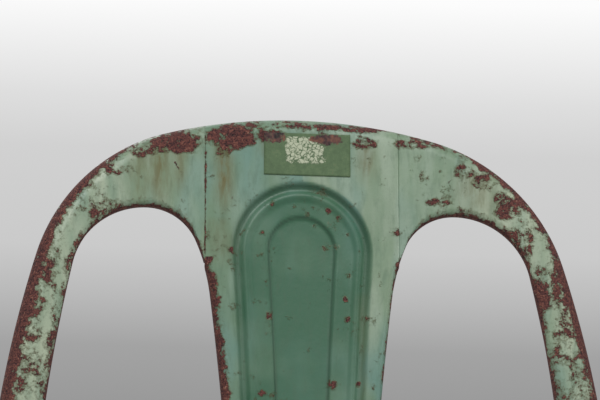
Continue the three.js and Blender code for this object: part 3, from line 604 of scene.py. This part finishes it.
def press_depth(x, z):
    outer = inside_arch(x, z, **OUTER_ARCH)
    inner = inside_arch(x, z, **INNER_ARCH)
    levels = (
        GROOVE * smooth(-3.2, 0.8, outer) * (1 - smooth(1.4, 4.2, outer))
        + RIDGE * smooth(1.4, 4.2, outer) * (1 - smooth(5.4, 8.4, outer))
        + RING * smooth(5.4, 8.4, outer) * (1 - smooth(-0.8, 0.9, inner))
        + PANEL * smooth(-0.8, 0.9, inner)
    )
    return levels * smooth(*ARCH_FADE, z - BACK_FOOT_Z)


# %% Wear of the splat


def groove_shade_and_grime(x, z):
    """Painted shade, with some dirt, darkens the press tool's two steps."""
    outer = inside_arch(x, z, **OUTER_ARCH)
    inner = inside_arch(x, z, **INNER_ARCH)
    outer_line_shade_and_dirt = smooth(-3.4, -1.0, outer) * smooth(2.4, 0.6, outer)
    inner_line_shade_and_dirt = smooth(-0.9, 0.1, inner) * smooth(1.8, 0.4, inner)
    outer_line_shade_and_dirt *= lerp(0.62, 0.30, smooth(50, 120, CREST - z))
    return max(outer_line_shade_and_dirt, 0.8 * inner_line_shade_and_dirt) * smooth(*ARCH_FADE, z - BACK_FOOT_Z)


def seam_wear(right, below):
    """The weld seams have cracked, the left one all the way down."""
    crack = 0.48 if right < 0 else 0.10
    return crack * smooth(0.9, 0.1, abs(abs(right) - SEAM)) * smooth(-2, 3, below)


def splat_marks(p):
    below = CREST - p.z
    inner = smooth(-1, 1, inside_arch(p.x, p.z, **INNER_ARCH))
    outer = smooth(-1, 3, inside_arch(p.x, p.z, **OUTER_ARCH))
    edge = half_splat(p.z) - abs(p.x)
    behind = on_back(p.x, p.z).y + 5 < p.y
    side = 0.72 if p.x < 0 else 0.52
    reach = 7.5 if p.x < 0 else 3.2
    rim = side * smooth(reach, 0.2, edge) if p.z < SEAM_FOOT + 3 else seam_wear(p.x, below)
    foot = 0.45 * smooth(BACK_FOOT_Z + 14, BACK_FOOT_Z + 2, p.z)
    crest = 0.30 * smooth(6, 2, below)
    face = lerp(lerp(0.04, 0.02, outer), -0.14, inner)
    wear = max(face, patch_wear(p.x, below), rim, foot, crest, 0.25 if behind else face)
    # The right half of the face is made paler than the left, and the upper face paler than the lower.
    level = lerp(0.90 if p.x > 0 else 0.72, 0.5, smooth(90, 200, below))
    chalk = lerp(lerp(level, 0.11, outer), lerp(0.12, -0.08, smooth(60, 130, below)), inner)
    # The grooves get painted shade, with some grime: less chalk and a darker mark.
    shade_in_grooves = groove_shade_and_grime(p.x, p.z)
    return wear, chalk * (1 - min(1.0, 1.5 * shade_in_grooves)), water_stain(p.x, below), 0.55 * shade_in_grooves


# %% Build the splat
side_line = Line(opening_inner)
SEAM_FOOT = side_line.at(side_line.where(0, SEAM))[1]


def half_splat(z):
    return SEAM if z > SEAM_FOOT else side_line.at(side_line.where(1, z))[0]


def splat_row(z, crest_drop):
    """One level of the splat's face, from the turned edge at -X to the one at +X."""
    turned_back = smooth(SEAM_FOOT + 1, SEAM_FOOT - 2, z) * smooth(BACK_FOOT_Z + 8, BACK_FOOT_Z + 24, z)
    half = half_splat(z) + turned_back * CREST_BEND * facing(half_splat(z)).x
    bend = CREST_BEND
    side = []
    for t in steps(9):
        angle = 90 * DEG * t
        flat = lerp(half - bend, half, t)
        bent = half - bend + bend * math.sin(angle)
        side.append((lerp(flat, bent, turned_back), bend * (1 - math.cos(angle))))
    side.append((half, bend + FLANGE))
    section = [(-x, depth) for x, depth in reversed(side)]
    section += [(lerp(bend - half, half - bend, t), 0.0) for t in steps(89)[1:-1]]
    section += side
    row = []
    for x, depth in section:
        normal = facing(x)
        level = z - crest_drop(x)
        face = on_back(x, level) + normal * press_depth(x, level)
        row.append(face - normal * depth * turned_back)
    return row


def build_splat():
    crest_length = outer_line.where(0, SEAM)
    top_row = splat_row(SEAM_FOOT + 20, lambda x: 0.0)
    columns = []
    for p in top_row:
        length = max(0.01, outer_line.where(0, abs(p.x))) if abs(p.x) > 0.01 else 0.01
        out, normal, front, axis = roll_frame(min(length, crest_length))
        mirror = Vector((-1 if p.x < 0 else 1, 1, 1))
        columns.append([q * mirror for q in roll_section(out, normal, axis, 14)])
    rows = []
    for i in range(14):
        rows.append([Vector((p.x, column[i].y, column[i].z)) for p, column in zip(top_row, columns)])
    front_z = [column[-1].z for column in columns]
    middle_z = max(front_z)
    fronts = dict(zip([round(p.x, 3) for p in top_row], front_z))

    def crest_drop_at(z):
        share = smooth(middle_z - 60, middle_z, z)
        return lambda x: share * (middle_z - fronts[min(fronts, key=lambda k: abs(k - x))])

    z = middle_z - 1.5
    foot_z = BACK_FOOT_Z + 4
    while z > foot_z:
        rows.append(splat_row(z, crest_drop_at(z) if z > middle_z - 60 else lambda x: 0.0))
        z -= 1.25 if z > SEAM_FOOT - 90 else 2.0
    foot_row = splat_row(foot_z, lambda x: 0.0)
    for t in steps(6)[1:]:
        angle = 90 * DEG * t
        back, drop = 3.0 * (1 - math.cos(angle)), 3.2 * math.sin(angle)
        rows.append([Vector((p.x, p.y + back, p.z - drop)) for p in foot_row])
    last = rows[-1]
    rows.append([Vector((p.x, p.y + 9.5, p.z - FALL * 9.5)) for p in last])
    return rows


splat_rows = build_splat()
splat_grid_marks = [[splat_marks(p) for p in row] for row in splat_rows]
splat = sheet("back_splat_pressing", splat_rows, splat_grid_marks)
stand_for(splat, green_paint, "back_splat")

# %% [markdown]
# ## The arms
#
# Each side of the back is a second sheet, rolled over the tube outside and turned back along the
# opening. Sections run from the outline to the opening's edge like the ribs of a fan, because both
# edges curve and the strip between them narrows from 50 mm at the crest to 23 mm beside the seat.

# %% Wear of the arms


def arm_marks(share, across, right, below):
    """share runs 0 to 1 down the arm; across runs from the lip (0) over the roll (1) to the rim (2)."""
    shoulder = smooth(0.04, 0.3, share)
    edge = lerp(0.44, 0.80, shoulder) * smooth(0.12, 0.34, across) * smooth(1.02, 0.62, across)
    low = smooth(0.12, 0.5, share)
    band = lerp(0.06, 0.40 if right < 0 else 0.32, low) * smooth(2.0, 0.8, across)
    inner = lerp(0.0, 0.32 if right < 0 else 0.18, smooth(0.35, 0.8, share))
    rim = 0.60 * smooth(1.86, 1.97, across) + 0.34 * smooth(1.7, 1.86, across)
    seam = seam_wear(right, below) if share < 0.16 else 0.0
    wear = max(edge, band, inner, min(rim, 1.0), seam, patch_wear(right, below))
    chalk = 0.84 + 0.30 * smooth(0.05, 0.3, share)
    return wear, chalk, water_stain(right, below), 0.0


# %% Build the arms


def cut_at(points, x):
    """The points beyond x, and the crossing itself."""
    kept = [p for p in points if p[0] > x]
    last, following = kept[-1], points[len(kept)]
    t = (x - last[0]) / (following[0] - last[0])
    return kept + [(x, lerp(last[1], following[1], t))]


def turned_edge(edge, out, normal, bend, count):
    centre = edge - out * bend - normal * bend
    angles = [90 * DEG * t for t in steps(count)]
    curve = [centre + out * (bend * math.sin(a)) + normal * (bend * math.cos(a)) for a in angles]
    return curve + [curve[-1] - normal * FLANGE]


def arm_stations(seam_x):
    """Pairs of lengths along the outline and along the opening's edge that are joined by a section."""
    edge = Line(cut_at(opening_inner, seam_x)[::-1] + opening_outer[1:])
    start = edge.where(1, OPENING_TOP)
    below = Line(opening_outer)
    marks = [
        (outer_line.where(0, seam_x), 0.0, 30),
        (outer_line.where(0, 96), start, 90),
        (outer_line.where(1, OPENING_TOP - 40), start + below.where(1, OPENING_TOP - 36), 60),
        (outer_line.where(1, OPENING_TOP - 130), start + below.where(1, OPENING_TOP - 130), 70),
        (outer_line.where(1, LANDING), start + below.where(1, LANDING), 0),
    ]
    pairs = []
    for (a, c, count), (b, d, _) in zip(marks, marks[1:]):
        pairs += [(lerp(a, b, i / count), lerp(c, d, i / count)) for i in range(count)]
    return edge, pairs + [marks[-1][:2]]


def build_arm(seam_x):
    """Rows of points from the seam at the crest down to the seat, with each point's place on the arm."""
    edge_line, stations = arm_stations(seam_x)
    rise = Vector((0, math.sin(BACK_LEAN), math.cos(BACK_LEAN)))
    across = steps(18) + [1 + t * 0.8 for t in steps(24)[1:-1]] + [1.8 + t * 0.2 for t in steps(10)]
    rows, places, pull = [], [], None
    for k, (outer, inner) in enumerate(stations):
        out, normal, front, axis = roll_frame(outer)
        x, z = edge_line.at(inner)
        bend = lerp(CREST_BEND, ARM_BEND, smooth(OPENING_TOP - 60, OPENING_TOP - 130, z))
        edge_normal = facing(x)
        edge = on_back(x + bend * edge_normal.x, z + bend * edge_normal.z)
        before, after = edge_line.at(max(0.0, inner - 1)), edge_line.at(inner + 1)
        way = Vector((after[1] - before[1], before[0] - after[0])).normalized()
        into_opening = (on_back(x + way.x * 0.1, z + way.y * 0.1) - on_back(x, z)).normalized()
        rolled = roll_section(out, normal, axis, 18)
        rim = turned_edge(edge, into_opening, edge_normal, bend, 9)
        begin, end = rolled[-1], rim[0]
        face = [on_back(lerp(begin.x, end.x, t), lerp(begin.z, end.z, t)) for t in steps(24)[1:-1]]
        level = smooth(OPENING_TOP - 160, OPENING_TOP - 240, z)
        section = [p + rise * (level * (z - p.z) / rise.z) for p in rolled + face + rim]
        # The first sections are pulled straight, so that the sheet starts exactly along the weld seam.
        pull = pull or [seam_x - p.x for p in section]
        share = k / (len(stations) - 1)
        ease = smooth(0.16, 0.0, share)
        rows.append([Vector((p.x + ease * shift, p.y, p.z)) for p, shift in zip(section, pull)])
        places.append([(share, a) for a in across])
    return rows[::-1], places[::-1]


def arm(name, seam_gap, side):
    rows, places = build_arm(SEAM + seam_gap)
    if side < 0:
        rows, places = mirror_rows(rows), mirror_marks(places)
    marks = [
        [arm_marks(share, across, p.x, CREST - p.z) for p, (share, across) in zip(row, place_row)]
        for row, place_row in zip(rows, places)
    ]
    return sheet(name, rows, marks)


for side_name, side in (("right", 1), ("left", -1)):
    stand_for(arm(f"back_arm_{side_name}_pressing", 0.05, side), green_paint, f"back_arm_{side_name}")

# %% [markdown]
# ## The label
#
# A thin blank label is stuck below the crest. It has been painted over, and the paint has flaked off
# its middle, so the pale card shows there.

# %% Finish of the label
LABEL_WIDTH, LABEL_HEIGHT, LABEL_DROP, LABEL_OFFSET, LABEL_THICK = 49.0, 24.0, 20.0, 3.0, 0.3
label_paper = bpy.data.materials.new("flaked_painted_label")
label_paper.use_nodes = True
paper = label_paper.node_tree
paper.nodes.clear()
where = add_node(paper, "ShaderNodeTexCoord").outputs["Object"]
where_mm = add_node(paper, "ShaderNodeVectorMath", {0: where, "Scale": 1 / MM}, operation="SCALE")
crackle_warp = add_node(paper, "ShaderNodeTexNoise", {"Vector": where_mm, "Scale": 1 / 3, "Detail": 5.0})
crackle_push = {0: crackle_warp.outputs["Color"], "Scale": 4.0}
crackle_shift = add_node(paper, "ShaderNodeVectorMath", crackle_push, operation="SCALE")
crackle_place = add_node(paper, "ShaderNodeVectorMath", {0: where_mm, 1: crackle_shift}, operation="ADD")
crackle_cells = {"Vector": crackle_place, "Scale": 1 / 2.4}
crackle = add_node(paper, "ShaderNodeTexVoronoi", crackle_cells, feature="DISTANCE_TO_EDGE")
patches = {"Vector": where_mm, "Scale": 1 / 4, "Detail": 7.0, "Roughness": 0.8}
patchy = add_node(paper, "ShaderNodeTexNoise", patches)
bare_card, card_rust = (
    add_node(paper, "ShaderNodeAttribute", attribute_name=kind).outputs["Fac"] for kind in ("wear", "stain")
)
torn = add_node(paper, "ShaderNodeMath", {0: bare_card, 1: patchy}, operation="ADD")
card = add_node(paper, "ShaderNodeMapRange", {"Value": torn, "From Min": 1.0, "From Max": 1.05})
uneven_cells = {0: patchy, 1: 0.5, 2: crackle.outputs[0]}
uneven = add_node(paper, "ShaderNodeMath", uneven_cells, operation="MULTIPLY_ADD")
flakes = add_node(paper, "ShaderNodeMapRange", {"Value": uneven, "From Min": 0.27, "From Max": 0.37})
shown = add_node(paper, "ShaderNodeMath", {0: card, 1: flakes}, operation="MULTIPLY")
olive = add_node(paper, "ShaderNodeValToRGB", {"Fac": patchy})
set_stops(olive, [(0.3, 0x53694B), (0.55, 0x627A57), (0.75, 0x7B8A66)])
card_colour = {0: shown, 6: olive, 7: linear(0xC4CBB0)}
dry_colour = add_node(paper, "ShaderNodeMix", card_colour, data_type="RGBA").outputs[2]
rust_edge = add_node(paper, "ShaderNodeMath", {0: patchy, 1: 2.5, 2: card_rust}, operation="MULTIPLY_ADD")
rust_shown = add_node(paper, "ShaderNodeMapRange", {"Value": rust_edge, "From Min": 1.60, "From Max": 1.68})
paper_rust = add_node(paper, "ShaderNodeValToRGB", {"Fac": crackle_warp})
set_stops(paper_rust, [(0.36, 0x2A1E22), (0.5, 0x583C3A), (0.66, 0x825645)])
rusted_colour = {0: rust_shown, 6: dry_colour, 7: paper_rust}
paper_colour = add_node(paper, "ShaderNodeMix", rusted_colour, data_type="RGBA").outputs[2]
lifted = add_node(paper, "ShaderNodeBump", {"Height": shown, "Strength": 0.8, "Distance": 0.15 * MM})
matt = {"Base Color": paper_colour, "Roughness": 0.78, "Normal": lifted}
add_node(paper, "ShaderNodeOutputMaterial", {"Surface": add_node(paper, "ShaderNodeBsdfPrincipled", matt)})

# %% Build the label
label_rows, label_marks = [], []
for v in steps(25):
    z = CREST - LABEL_DROP + LABEL_HEIGHT * (0.5 - v)
    across = [LABEL_OFFSET + LABEL_WIDTH * (u - 0.5) for u in steps(25)]
    label_rows.append([on_back(x, z) + facing(x) * (LABEL_THICK + 0.15) for x in across])
    flaked = smooth(0.02, 0.1, v) * smooth(0.92, 0.62, v)
    cream = [smooth(0.14, 0.30, u) * smooth(0.86, 0.62, u) * flaked for u in steps(25)]
    label_marks.append([(0.64 * c, 0.0, patch_wear(x, CREST - z), 0.0) for c, x in zip(cream, across)])
label = sheet("back_label_card", label_rows, label_marks, thickness=LABEL_THICK)
stand_for(label, label_paper, "back_label")

# %% [markdown]
# ## The plan of the chair
#
# The seat, the legs and the rails share one plan: a rounded rectangle with a bowed rear edge, which
# grows towards the floor as the legs splay. Everything from the seat down also falls a little to the
# rear, with the seat.

# %% Plan of the seat, legs and rails
LEG_INSET = 1.3  # the legs stand this far inside the seat's skirt
CLEARANCE = 0.3
FOOT_HALF, FOOT_FRONT, FOOT_REAR = FOOT_HIGH.x + 0.4, FOOT_LOW.y - 0.3, FOOT_HIGH.y + 1.1
KNEE_TOP, KNEE_BLEND = 428.0, 40.0
ARCH_TOP, ARCH_RADIUS, ARCH_FACE, FOOT_FACE = 402.0, 40.0, 70.0, 31.0
LEG_TOP, LEG_BOTTOM, HEM, HEM_BEND = SEAT_TOP - SEAT_ROLL - 0.5, 4.0, 5.0, 2.0
FRONT_RADIUS, REAR_RADIUS, FOOT_RADIUS = 52.0, 24.0, 13.0
RIB_DEPTH, RIB_HALF = 1.6, 4.0


def settled(p):
    return Vector((p.x, p.y, p.z - FALL * (p.y - SEAT_FRONT) * min(1.0, max(0.0, p.z / SEAT_TOP))))


def splay(z):
    """How far the legs have splayed at a height, as a share of the splay at the floor."""
    def run(down):
        return down * down / (2 * KNEE_BLEND) if down < KNEE_BLEND else down - KNEE_BLEND / 2

    return run(max(0.0, KNEE_TOP - z)) / run(KNEE_TOP)


def leg_faces(z):
    """Half-width, front, rear and bow of the outer faces of the legs and rails at a height."""
    s = splay(z)
    half = lerp(SEAT_HALF - LEG_INSET, FOOT_HALF, s)
    front = lerp(SEAT_FRONT + LEG_INSET, FOOT_FRONT, s)
    rear = lerp(SEAT_REAR - LEG_INSET, FOOT_REAR, s)
    return half, front, rear, REAR_BOW * smooth(ARCH_TOP - ARCH_RADIUS, SEAT_TOP - SEAT_ROLL, z)


def corner_radius(z, rear):
    at_top = (REAR_RADIUS if rear else FRONT_RADIUS) - LEG_INSET
    return lerp(FOOT_RADIUS, at_top, min(1.0, z / (KNEE_TOP - 20)))


def seat_plan(inset, rear_extra, straight=16, corner=12):
    """Points round the seat at an inset, anticlockwise from the middle of its front edge."""
    half, front, rear = SEAT_HALF - inset, SEAT_FRONT + inset, SEAT_REAR - inset - rear_extra
    front_r = max(14.0, FRONT_RADIUS - 0.7 * inset)
    rear_r = max(14.0, REAR_RADIUS - 0.3 * inset + 0.2 * rear_extra)

    def edge(a, b, count):
        return [(lerp(a[0], b[0], t), lerp(a[1], b[1], t)) for t in steps(count + 1)][:-1]

    def arc(x, y, r, start):
        angles = [start + t * 90 * DEG for t in steps(corner + 1)][:-1]
        return [(x + r * math.cos(a), y + r * math.sin(a)) for a in angles]

    xf, xr, yf, yr = half - front_r, half - rear_r, front + front_r, rear - rear_r
    points = edge((0, front), (xf, front), straight) + arc(xf, yf, front_r, -90 * DEG)
    points += edge((half, yf), (half, yr), 2 * straight) + arc(xr, yr, rear_r, 0)
    back_edge = edge((xr, rear), (-xr, rear), 4 * straight)
    points += [(x, y + REAR_BOW * (1 - (x / xr) ** 2)) for x, y in back_edge]
    points += arc(-xr, yr, rear_r, 90 * DEG) + edge((-half, yr), (-half, yf), 2 * straight)
    return points + arc(-xf, yf, front_r, 180 * DEG) + edge((-xf, front), (0, front), straight)


# %% [markdown]
# ## The seat
#
# The seat is one pan. From its drain hole the sheet runs out over a shallow dish with a bead round
# it, up to a flat border, over the rolled edge, and down into the skirt.

# %% Build the seat
DISH, BORDER, REAR_BORDER, SKIRT = 5.0, 30.0, 50.0, 14.0
DRAIN, SIDE_DRAIN, SIDE_DRAIN_OFFSET = 7.0, 4.0, 62.0
SEAT_MIDDLE = (SEAT_FRONT + SEAT_REAR) / 2


def seat_height(inset):
    dish = DISH * smooth(BORDER, BORDER + 9, inset)
    bead = 1.2 * math.cos(90 * DEG * min(1.0, abs(inset - BORDER - 30) / 6))
    return SEAT_TOP - dish + bead - smooth(BORDER + 36, BORDER + 70, inset)


def seat_marks(inset, x, y):
    roll = 0.38 * smooth(SEAT_ROLL + 8, SEAT_ROLL - 4, inset)
    sat_on = 0.24 * smooth(150, 40, math.hypot(x, y - SEAT_MIDDLE))
    bead = 0.26 * smooth(5, 1, abs(inset - BORDER - 30))
    drain = 0.7 * smooth(DRAIN + 9, DRAIN, math.hypot(x, y - SEAT_MIDDLE))
    return max(0.06, roll, sat_on, bead, drain), 0.62 - sat_on, 0.0, 0.0


seat_rings, ring_marks = [], []


def add_ring(inset, z, rear_extra, drain_share=0.0):
    """One ring of the seat; towards the middle it turns into the round drain hole."""
    ring, marks = [], []
    for x, y in seat_plan(inset, rear_extra):
        angle = math.atan2(y - SEAT_MIDDLE, x)
        drain = Vector((DRAIN * math.cos(angle), SEAT_MIDDLE + DRAIN * math.sin(angle), 0))
        p = Vector((x, y, 0)).lerp(drain, drain_share)
        ring.append(settled(Vector((p.x, p.y, z))))
        marks.append(seat_marks(inset + drain_share * 80, p.x, p.y))
    seat_rings.append(ring)
    ring_marks.append(marks)


REAR_EXTRA = REAR_BORDER - BORDER
for t in steps(26):
    add_ring(BORDER + 42, seat_height(BORDER + 42 + 30 * (1 - t)) - 0.5 * (1 - t), REAR_EXTRA, 1 - t)
bead_insets = [70, 68, 66.5, 65, 63.5, 62, 60.5, 59, 57.5, 56, 54.5, 52, 48, 44]
slope_insets = [41, 39, 37.5, 36, 34.5, 33, 31.5, 30]
for inset in bead_insets + slope_insets:
    add_ring(inset, seat_height(inset), REAR_EXTRA)
for inset in [27, 23, 18, 13]:
    add_ring(inset, SEAT_TOP, REAR_EXTRA * smooth(8, 30, inset))
for t in steps(11):
    turn = 90 * DEG * t
    add_ring(SEAT_ROLL * (1 - math.sin(turn)), SEAT_TOP - SEAT_ROLL * (1 - math.cos(turn)), 0)
for drop in [3, 7, 11, SKIRT]:
    add_ring(0, SEAT_TOP - SEAT_ROLL - drop, 0)
offsets = (-SIDE_DRAIN_OFFSET, SIDE_DRAIN_OFFSET)
drains = [(x, SEAT_MIDDLE + y) for x in offsets for y in offsets]
seat = sheet("seat_pan_pressing", seat_rings, ring_marks, ring=True, holes=drains, hole_radius=SIDE_DRAIN)
stand_for(seat, green_paint, "seat_pan")

# %% [markdown]
# ## Legs and rails
#
# Each leg is a sheet bent round its corner, with a rib pressed in each face and a hem turned in along
# each edge. Under the seat the faces widen in an arch and run into the rails.

# %% Build the legs
LEG_LEVELS = [LEG_BOTTOM, 8, 14, 20, 27, 34, 44, 60, 90, 120, 150, 180, 210, 240, 270, 300, 315, 330, 345]
LEG_LEVELS += [ARCH_TOP + ARCH_RADIUS * (math.sin(turn * DEG) - 1) for turn in range(0, 91, 6)]
LEG_LEVELS += [405, 408, 412, 416, 420, 424, KNEE_TOP, 434, LEG_TOP]


def leg_width(z):
    """Width of a leg's faces at a height, and how far the hem has opened flat."""
    start = ARCH_TOP - ARCH_RADIUS
    if z <= start:
        return lerp(FOOT_FACE, ARCH_FACE, z / start), 0.0
    turn = math.asin(min(1.0, (z - start) / ARCH_RADIUS))
    return ARCH_FACE + ARCH_RADIUS * (1 - math.cos(turn)), smooth(40 * DEG, 78 * DEG, turn)


def leg_face(width, flat, r, rib):
    """A face of the leg, as (distance from the corner, depth inwards) from its hem to its round."""
    face = [(width + HEM * flat, HEM * (1 - flat))]
    for t in reversed(steps(5)):
        bent = (width - HEM_BEND * (1 - math.sin(90 * DEG * t)), HEM_BEND * (1 - math.cos(90 * DEG * t)))
        face.append((lerp(bent[0], width + (HEM - 1) * t - HEM_BEND * (1 - t), flat), bent[1] * (1 - flat)))
    middle, half = (width + r) / 2, min(RIB_HALF, (width - r) / 2 - 1)
    for t in steps(9):
        across = 1 - 2 * t
        face.append((middle + half * across, rib * (1 + math.cos(math.pi * across)) / 2))
    return face


def build_leg(rear):
    away = 1 if rear else -1
    rows, marks = [], []
    for z in LEG_LEVELS:
        half, front, rear_y, bow = leg_faces(z)
        y = rear_y if rear else front
        r = corner_radius(z, rear)
        width, flat = leg_width(z)
        face = leg_face(width, flat, r, RIB_DEPTH * smooth(20, 60, z) * smooth(360, 300, z))
        turns = [90 * DEG * t for t in steps(11)]
        row = [(half - depth, y - away * along) for along, depth in face]
        row += [(half - r * (1 - math.cos(a)), y - away * r * (1 - math.sin(a))) for a in turns]
        for along, depth in reversed(face):
            x = half - along
            bulge = bow * (1 - min(1.0, x / (half - r)) ** 2) if rear else 0.0
            row.append((x, y + bulge - away * depth))
        rows.append([settled(Vector((x, y, z))) for x, y in row])
        foot = 0.62 * smooth(75, 6, z)
        hem = [0.46 * smooth(7, 2, min(i, len(row) - 1 - i)) * (1 - flat) for i in range(len(row))]
        knee = [0.30 * smooth(6, 1, abs(i - len(row) / 2)) for i in range(len(row))]
        marks.append([(max(0.10, foot, h, k), 0.66, 0.0, 0.0) for h, k in zip(hem, knee)])
    return (rows[::-1], marks[::-1]) if rear else (rows, marks)


for end_name, rear in (("front", False), ("rear", True)):
    rows, marks = build_leg(rear)
    right_leg = sheet(f"leg_{end_name}_right_pressing", rows, marks)
    left_leg = sheet(f"leg_{end_name}_left_pressing", mirror_rows(rows), mirror_marks(marks))
    stand_for(right_leg, green_paint, f"leg_{end_name}_right")
    stand_for(left_leg, green_paint, f"leg_{end_name}_left")

# %% Build the rails
RAIL_DEPTH = SHEET + 3 * CLEARANCE  # the rails lie behind the legs' faces
RAIL_BEND, RAIL_LIP = 3.0, 8.0
RAIL_FOOT = ARCH_TOP + 1.5


def rail(name, place, count):
    """A rail from its turned-in lower edge up. place gives a point and the way inwards."""
    angles = [90 * DEG * t for t in steps(6)]
    bend = [(RAIL_FOOT + RAIL_BEND * (1 - math.cos(a)), RAIL_BEND * (1 - math.sin(a))) for a in angles]
    upright = [(lerp(RAIL_FOOT + RAIL_BEND, LEG_TOP, t), 0.0) for t in steps(9)[1:]]
    profile = [(RAIL_FOOT, RAIL_LIP)] + bend + upright
    rows, marks = [], []
    for z, inwards in reversed(profile):
        line = [place(z, t) for t in steps(count)]
        rows.append([settled(p + inward * (RAIL_DEPTH + inwards)) for p, inward in line])
        marks.append([(max(0.2, 0.5 * smooth(RAIL_FOOT + 8, RAIL_FOOT, z)), 0.5, 0.0, 0.0)] * count)
    stand_for(sheet(f"{name}_pressing", rows, marks), green_paint, name)


def front_rail(z, t):
    reach = SEAT_HALF - FRONT_RADIUS - 4
    return Vector((lerp(-reach, reach, t), leg_faces(z)[1], z)), Vector((0, 1, 0))


def rear_rail(z, t):
    half, _, rear, bow = leg_faces(z)
    x = lerp(1, -1, t) * (tube_axis(0).x - TUBE - 8)
    bulge = bow * (1 - (x / (half - corner_radius(z, True))) ** 2)
    return Vector((x, rear + bulge, z)), Vector((0, -1, 0))


def right_rail(z, t):
    y = lerp(SEAT_FRONT + FRONT_RADIUS + 4, SEAT_REAR - 52, t)
    return Vector((leg_faces(z)[0], y, z)), Vector((-1, 0, 0))


def left_rail(z, t):
    p, inward = right_rail(z, 1 - t)
    return Vector((-p.x, p.y, p.z)), -inward


# %% [markdown]
# ## The hoop tube
#
# One tube runs inside the rolled edge, down through the seat, and into the rear legs' corners.

# %% Build the tube
TUBE, TUBE_WALL = 7.6, 1.5
UP_THE_BACK = Vector((0, math.sin(BACK_LEAN), math.cos(BACK_LEAN)))


def tube_axis(height):
    """A point on the tube's axis on the straight stretch at +X, height above the seat."""
    axis = roll_frame(outer_line.where(1, BACK_FOOT_Z + 20))[3]
    return axis + UP_THE_BACK * ((BACK_FOOT_Z + height - axis.z) / UP_THE_BACK.z)


def tube_in_leg(z):
    half, _, rear, _ = leg_faces(z)
    inset = LEG_INSET + SHEET + CLEARANCE + TUBE + 0.6
    inset += 0.3 * (corner_radius(z, True) - inset)
    return settled(Vector((half - inset, rear - inset, z)))


def through(points, count):
    """A smooth line through points, with so many steps in each span."""
    line = []
    for i in range(1, len(points) - 2):
        a, b, c, d = points[i - 1 : i + 3]
        for t in steps(count + 1)[:-1]:
            square, cube = (2 * a - 5 * b + 4 * c - d) * t**2, (3 * b - a - 3 * c + d) * t**3
            line.append(0.5 * (2 * b + (c - a) * t + square + cube))
    return line


def tube_rings(path, radius, sides=28):
    """Rings round a path that don't twist from one to the next."""
    way = (path[1] - path[0]).normalized()
    spoke = way.orthogonal().normalized()
    rings = []
    for i, p in enumerate(path):
        ahead = (path[min(i + 1, len(path) - 1)] - path[max(i - 1, 0)]).normalized()
        spoke.rotate(way.rotation_difference(ahead))
        way = ahead
        other = way.cross(spoke)
        turns = [360 * DEG * j / sides for j in range(sides)]
        rings.append([p + radius * (spoke * math.cos(a) + other * math.sin(a)) for a in turns])
    return rings


straight_from = outer_line.where(1, BACK_FOOT_Z + 20)
upper = [roll_frame(max(0.01, straight_from * t))[3] for t in steps(90)]
foot_points = [upper[-1], tube_axis(0), tube_in_leg(428), tube_in_leg(412), tube_in_leg(398)]
foot = through([upper[-2]] + foot_points + [2 * foot_points[-1] - foot_points[-2]], 8) + [foot_points[-1]]
right_half = upper[:-1] + foot
path = [Vector((-p.x, p.y, p.z)) for p in reversed(right_half)] + right_half[1:]
rings = tube_rings(path, TUBE)
tube_marks = [[(0.34, 0.4, 0.0, 0.0)] * len(ring) for ring in rings]
tube = sheet("hoop_tube_bent", rings, tube_marks, thickness=TUBE_WALL, ring=True)
stand_for(tube, green_paint, "hoop_tube")
rail("apron_front", front_rail, 41)
rail("apron_rear", rear_rail, 41)
rail("apron_right", right_rail, 31)
rail("apron_left", left_rail, 31)

# %% [markdown]
# ## Straps, rivets and glides
#
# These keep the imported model's own shapes. The straps get softly broken edges, the rivets round heads,
# and the glides rounded corners, all by modifiers. The glides are moulded rubber, which is matt and
# holds pale dust in its scuffs.

# %% Finish of the glides
glide_rubber = bpy.data.materials.new("scuffed_black_rubber")
glide_rubber.use_nodes = True
rubber = glide_rubber.node_tree
rubber.nodes.clear()
rubber_place = add_node(rubber, "ShaderNodeTexCoord").outputs["Object"]
rubber_mm = add_node(rubber, "ShaderNodeVectorMath", {0: rubber_place, "Scale": 1 / MM}, operation="SCALE")
scuffing = {"Vector": rubber_mm, "Scale": 1 / 3, "Detail": 6.0, "Roughness": 0.7}
scuffs = add_node(rubber, "ShaderNodeTexNoise", scuffing)
pores = add_node(rubber, "ShaderNodeTexNoise", {"Vector": rubber_mm, "Scale": 1 / 0.6, "Detail": 2.0})
black = add_node(rubber, "ShaderNodeValToRGB", {"Fac": scuffs})
set_stops(black, [(0.35, 0x171716), (0.6, 0x2A2927), (0.78, 0x6B665C)])
rough = add_node(rubber, "ShaderNodeMapRange", {"Value": scuffs, "To Min": 0.6, "To Max": 0.98})
dimples = add_node(rubber, "ShaderNodeBump", {"Height": pores, "Strength": 0.6, "Distance": 0.15 * MM})
worn_rubber = {"Base Color": black, "Roughness": rough, "Normal": dimples}
rubber_surface = add_node(rubber, "ShaderNodeBsdfPrincipled", worn_rubber)
add_node(rubber, "ShaderNodeOutputMaterial", {"Surface": rubber_surface})

# %% Finish the straps, rivets and glides
for name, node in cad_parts.items():
    if name.startswith("glide"):
        finish, width = glide_rubber, 1.2
    elif "rivet" in name:
        finish, width = rivet_steel, 0.5
    elif name.startswith("strap"):
        finish, width = strap_paint, 0.4
    else:
        continue
    node.data.materials.clear()
    node.data.materials.append(finish)
    rounding = node.modifiers.new("rounded edges", "BEVEL")
    rounding.width = width * MM
    rounding.segments = 3
    rounding.limit_method = "ANGLE"
    print(f"{name}: {finish.name}")
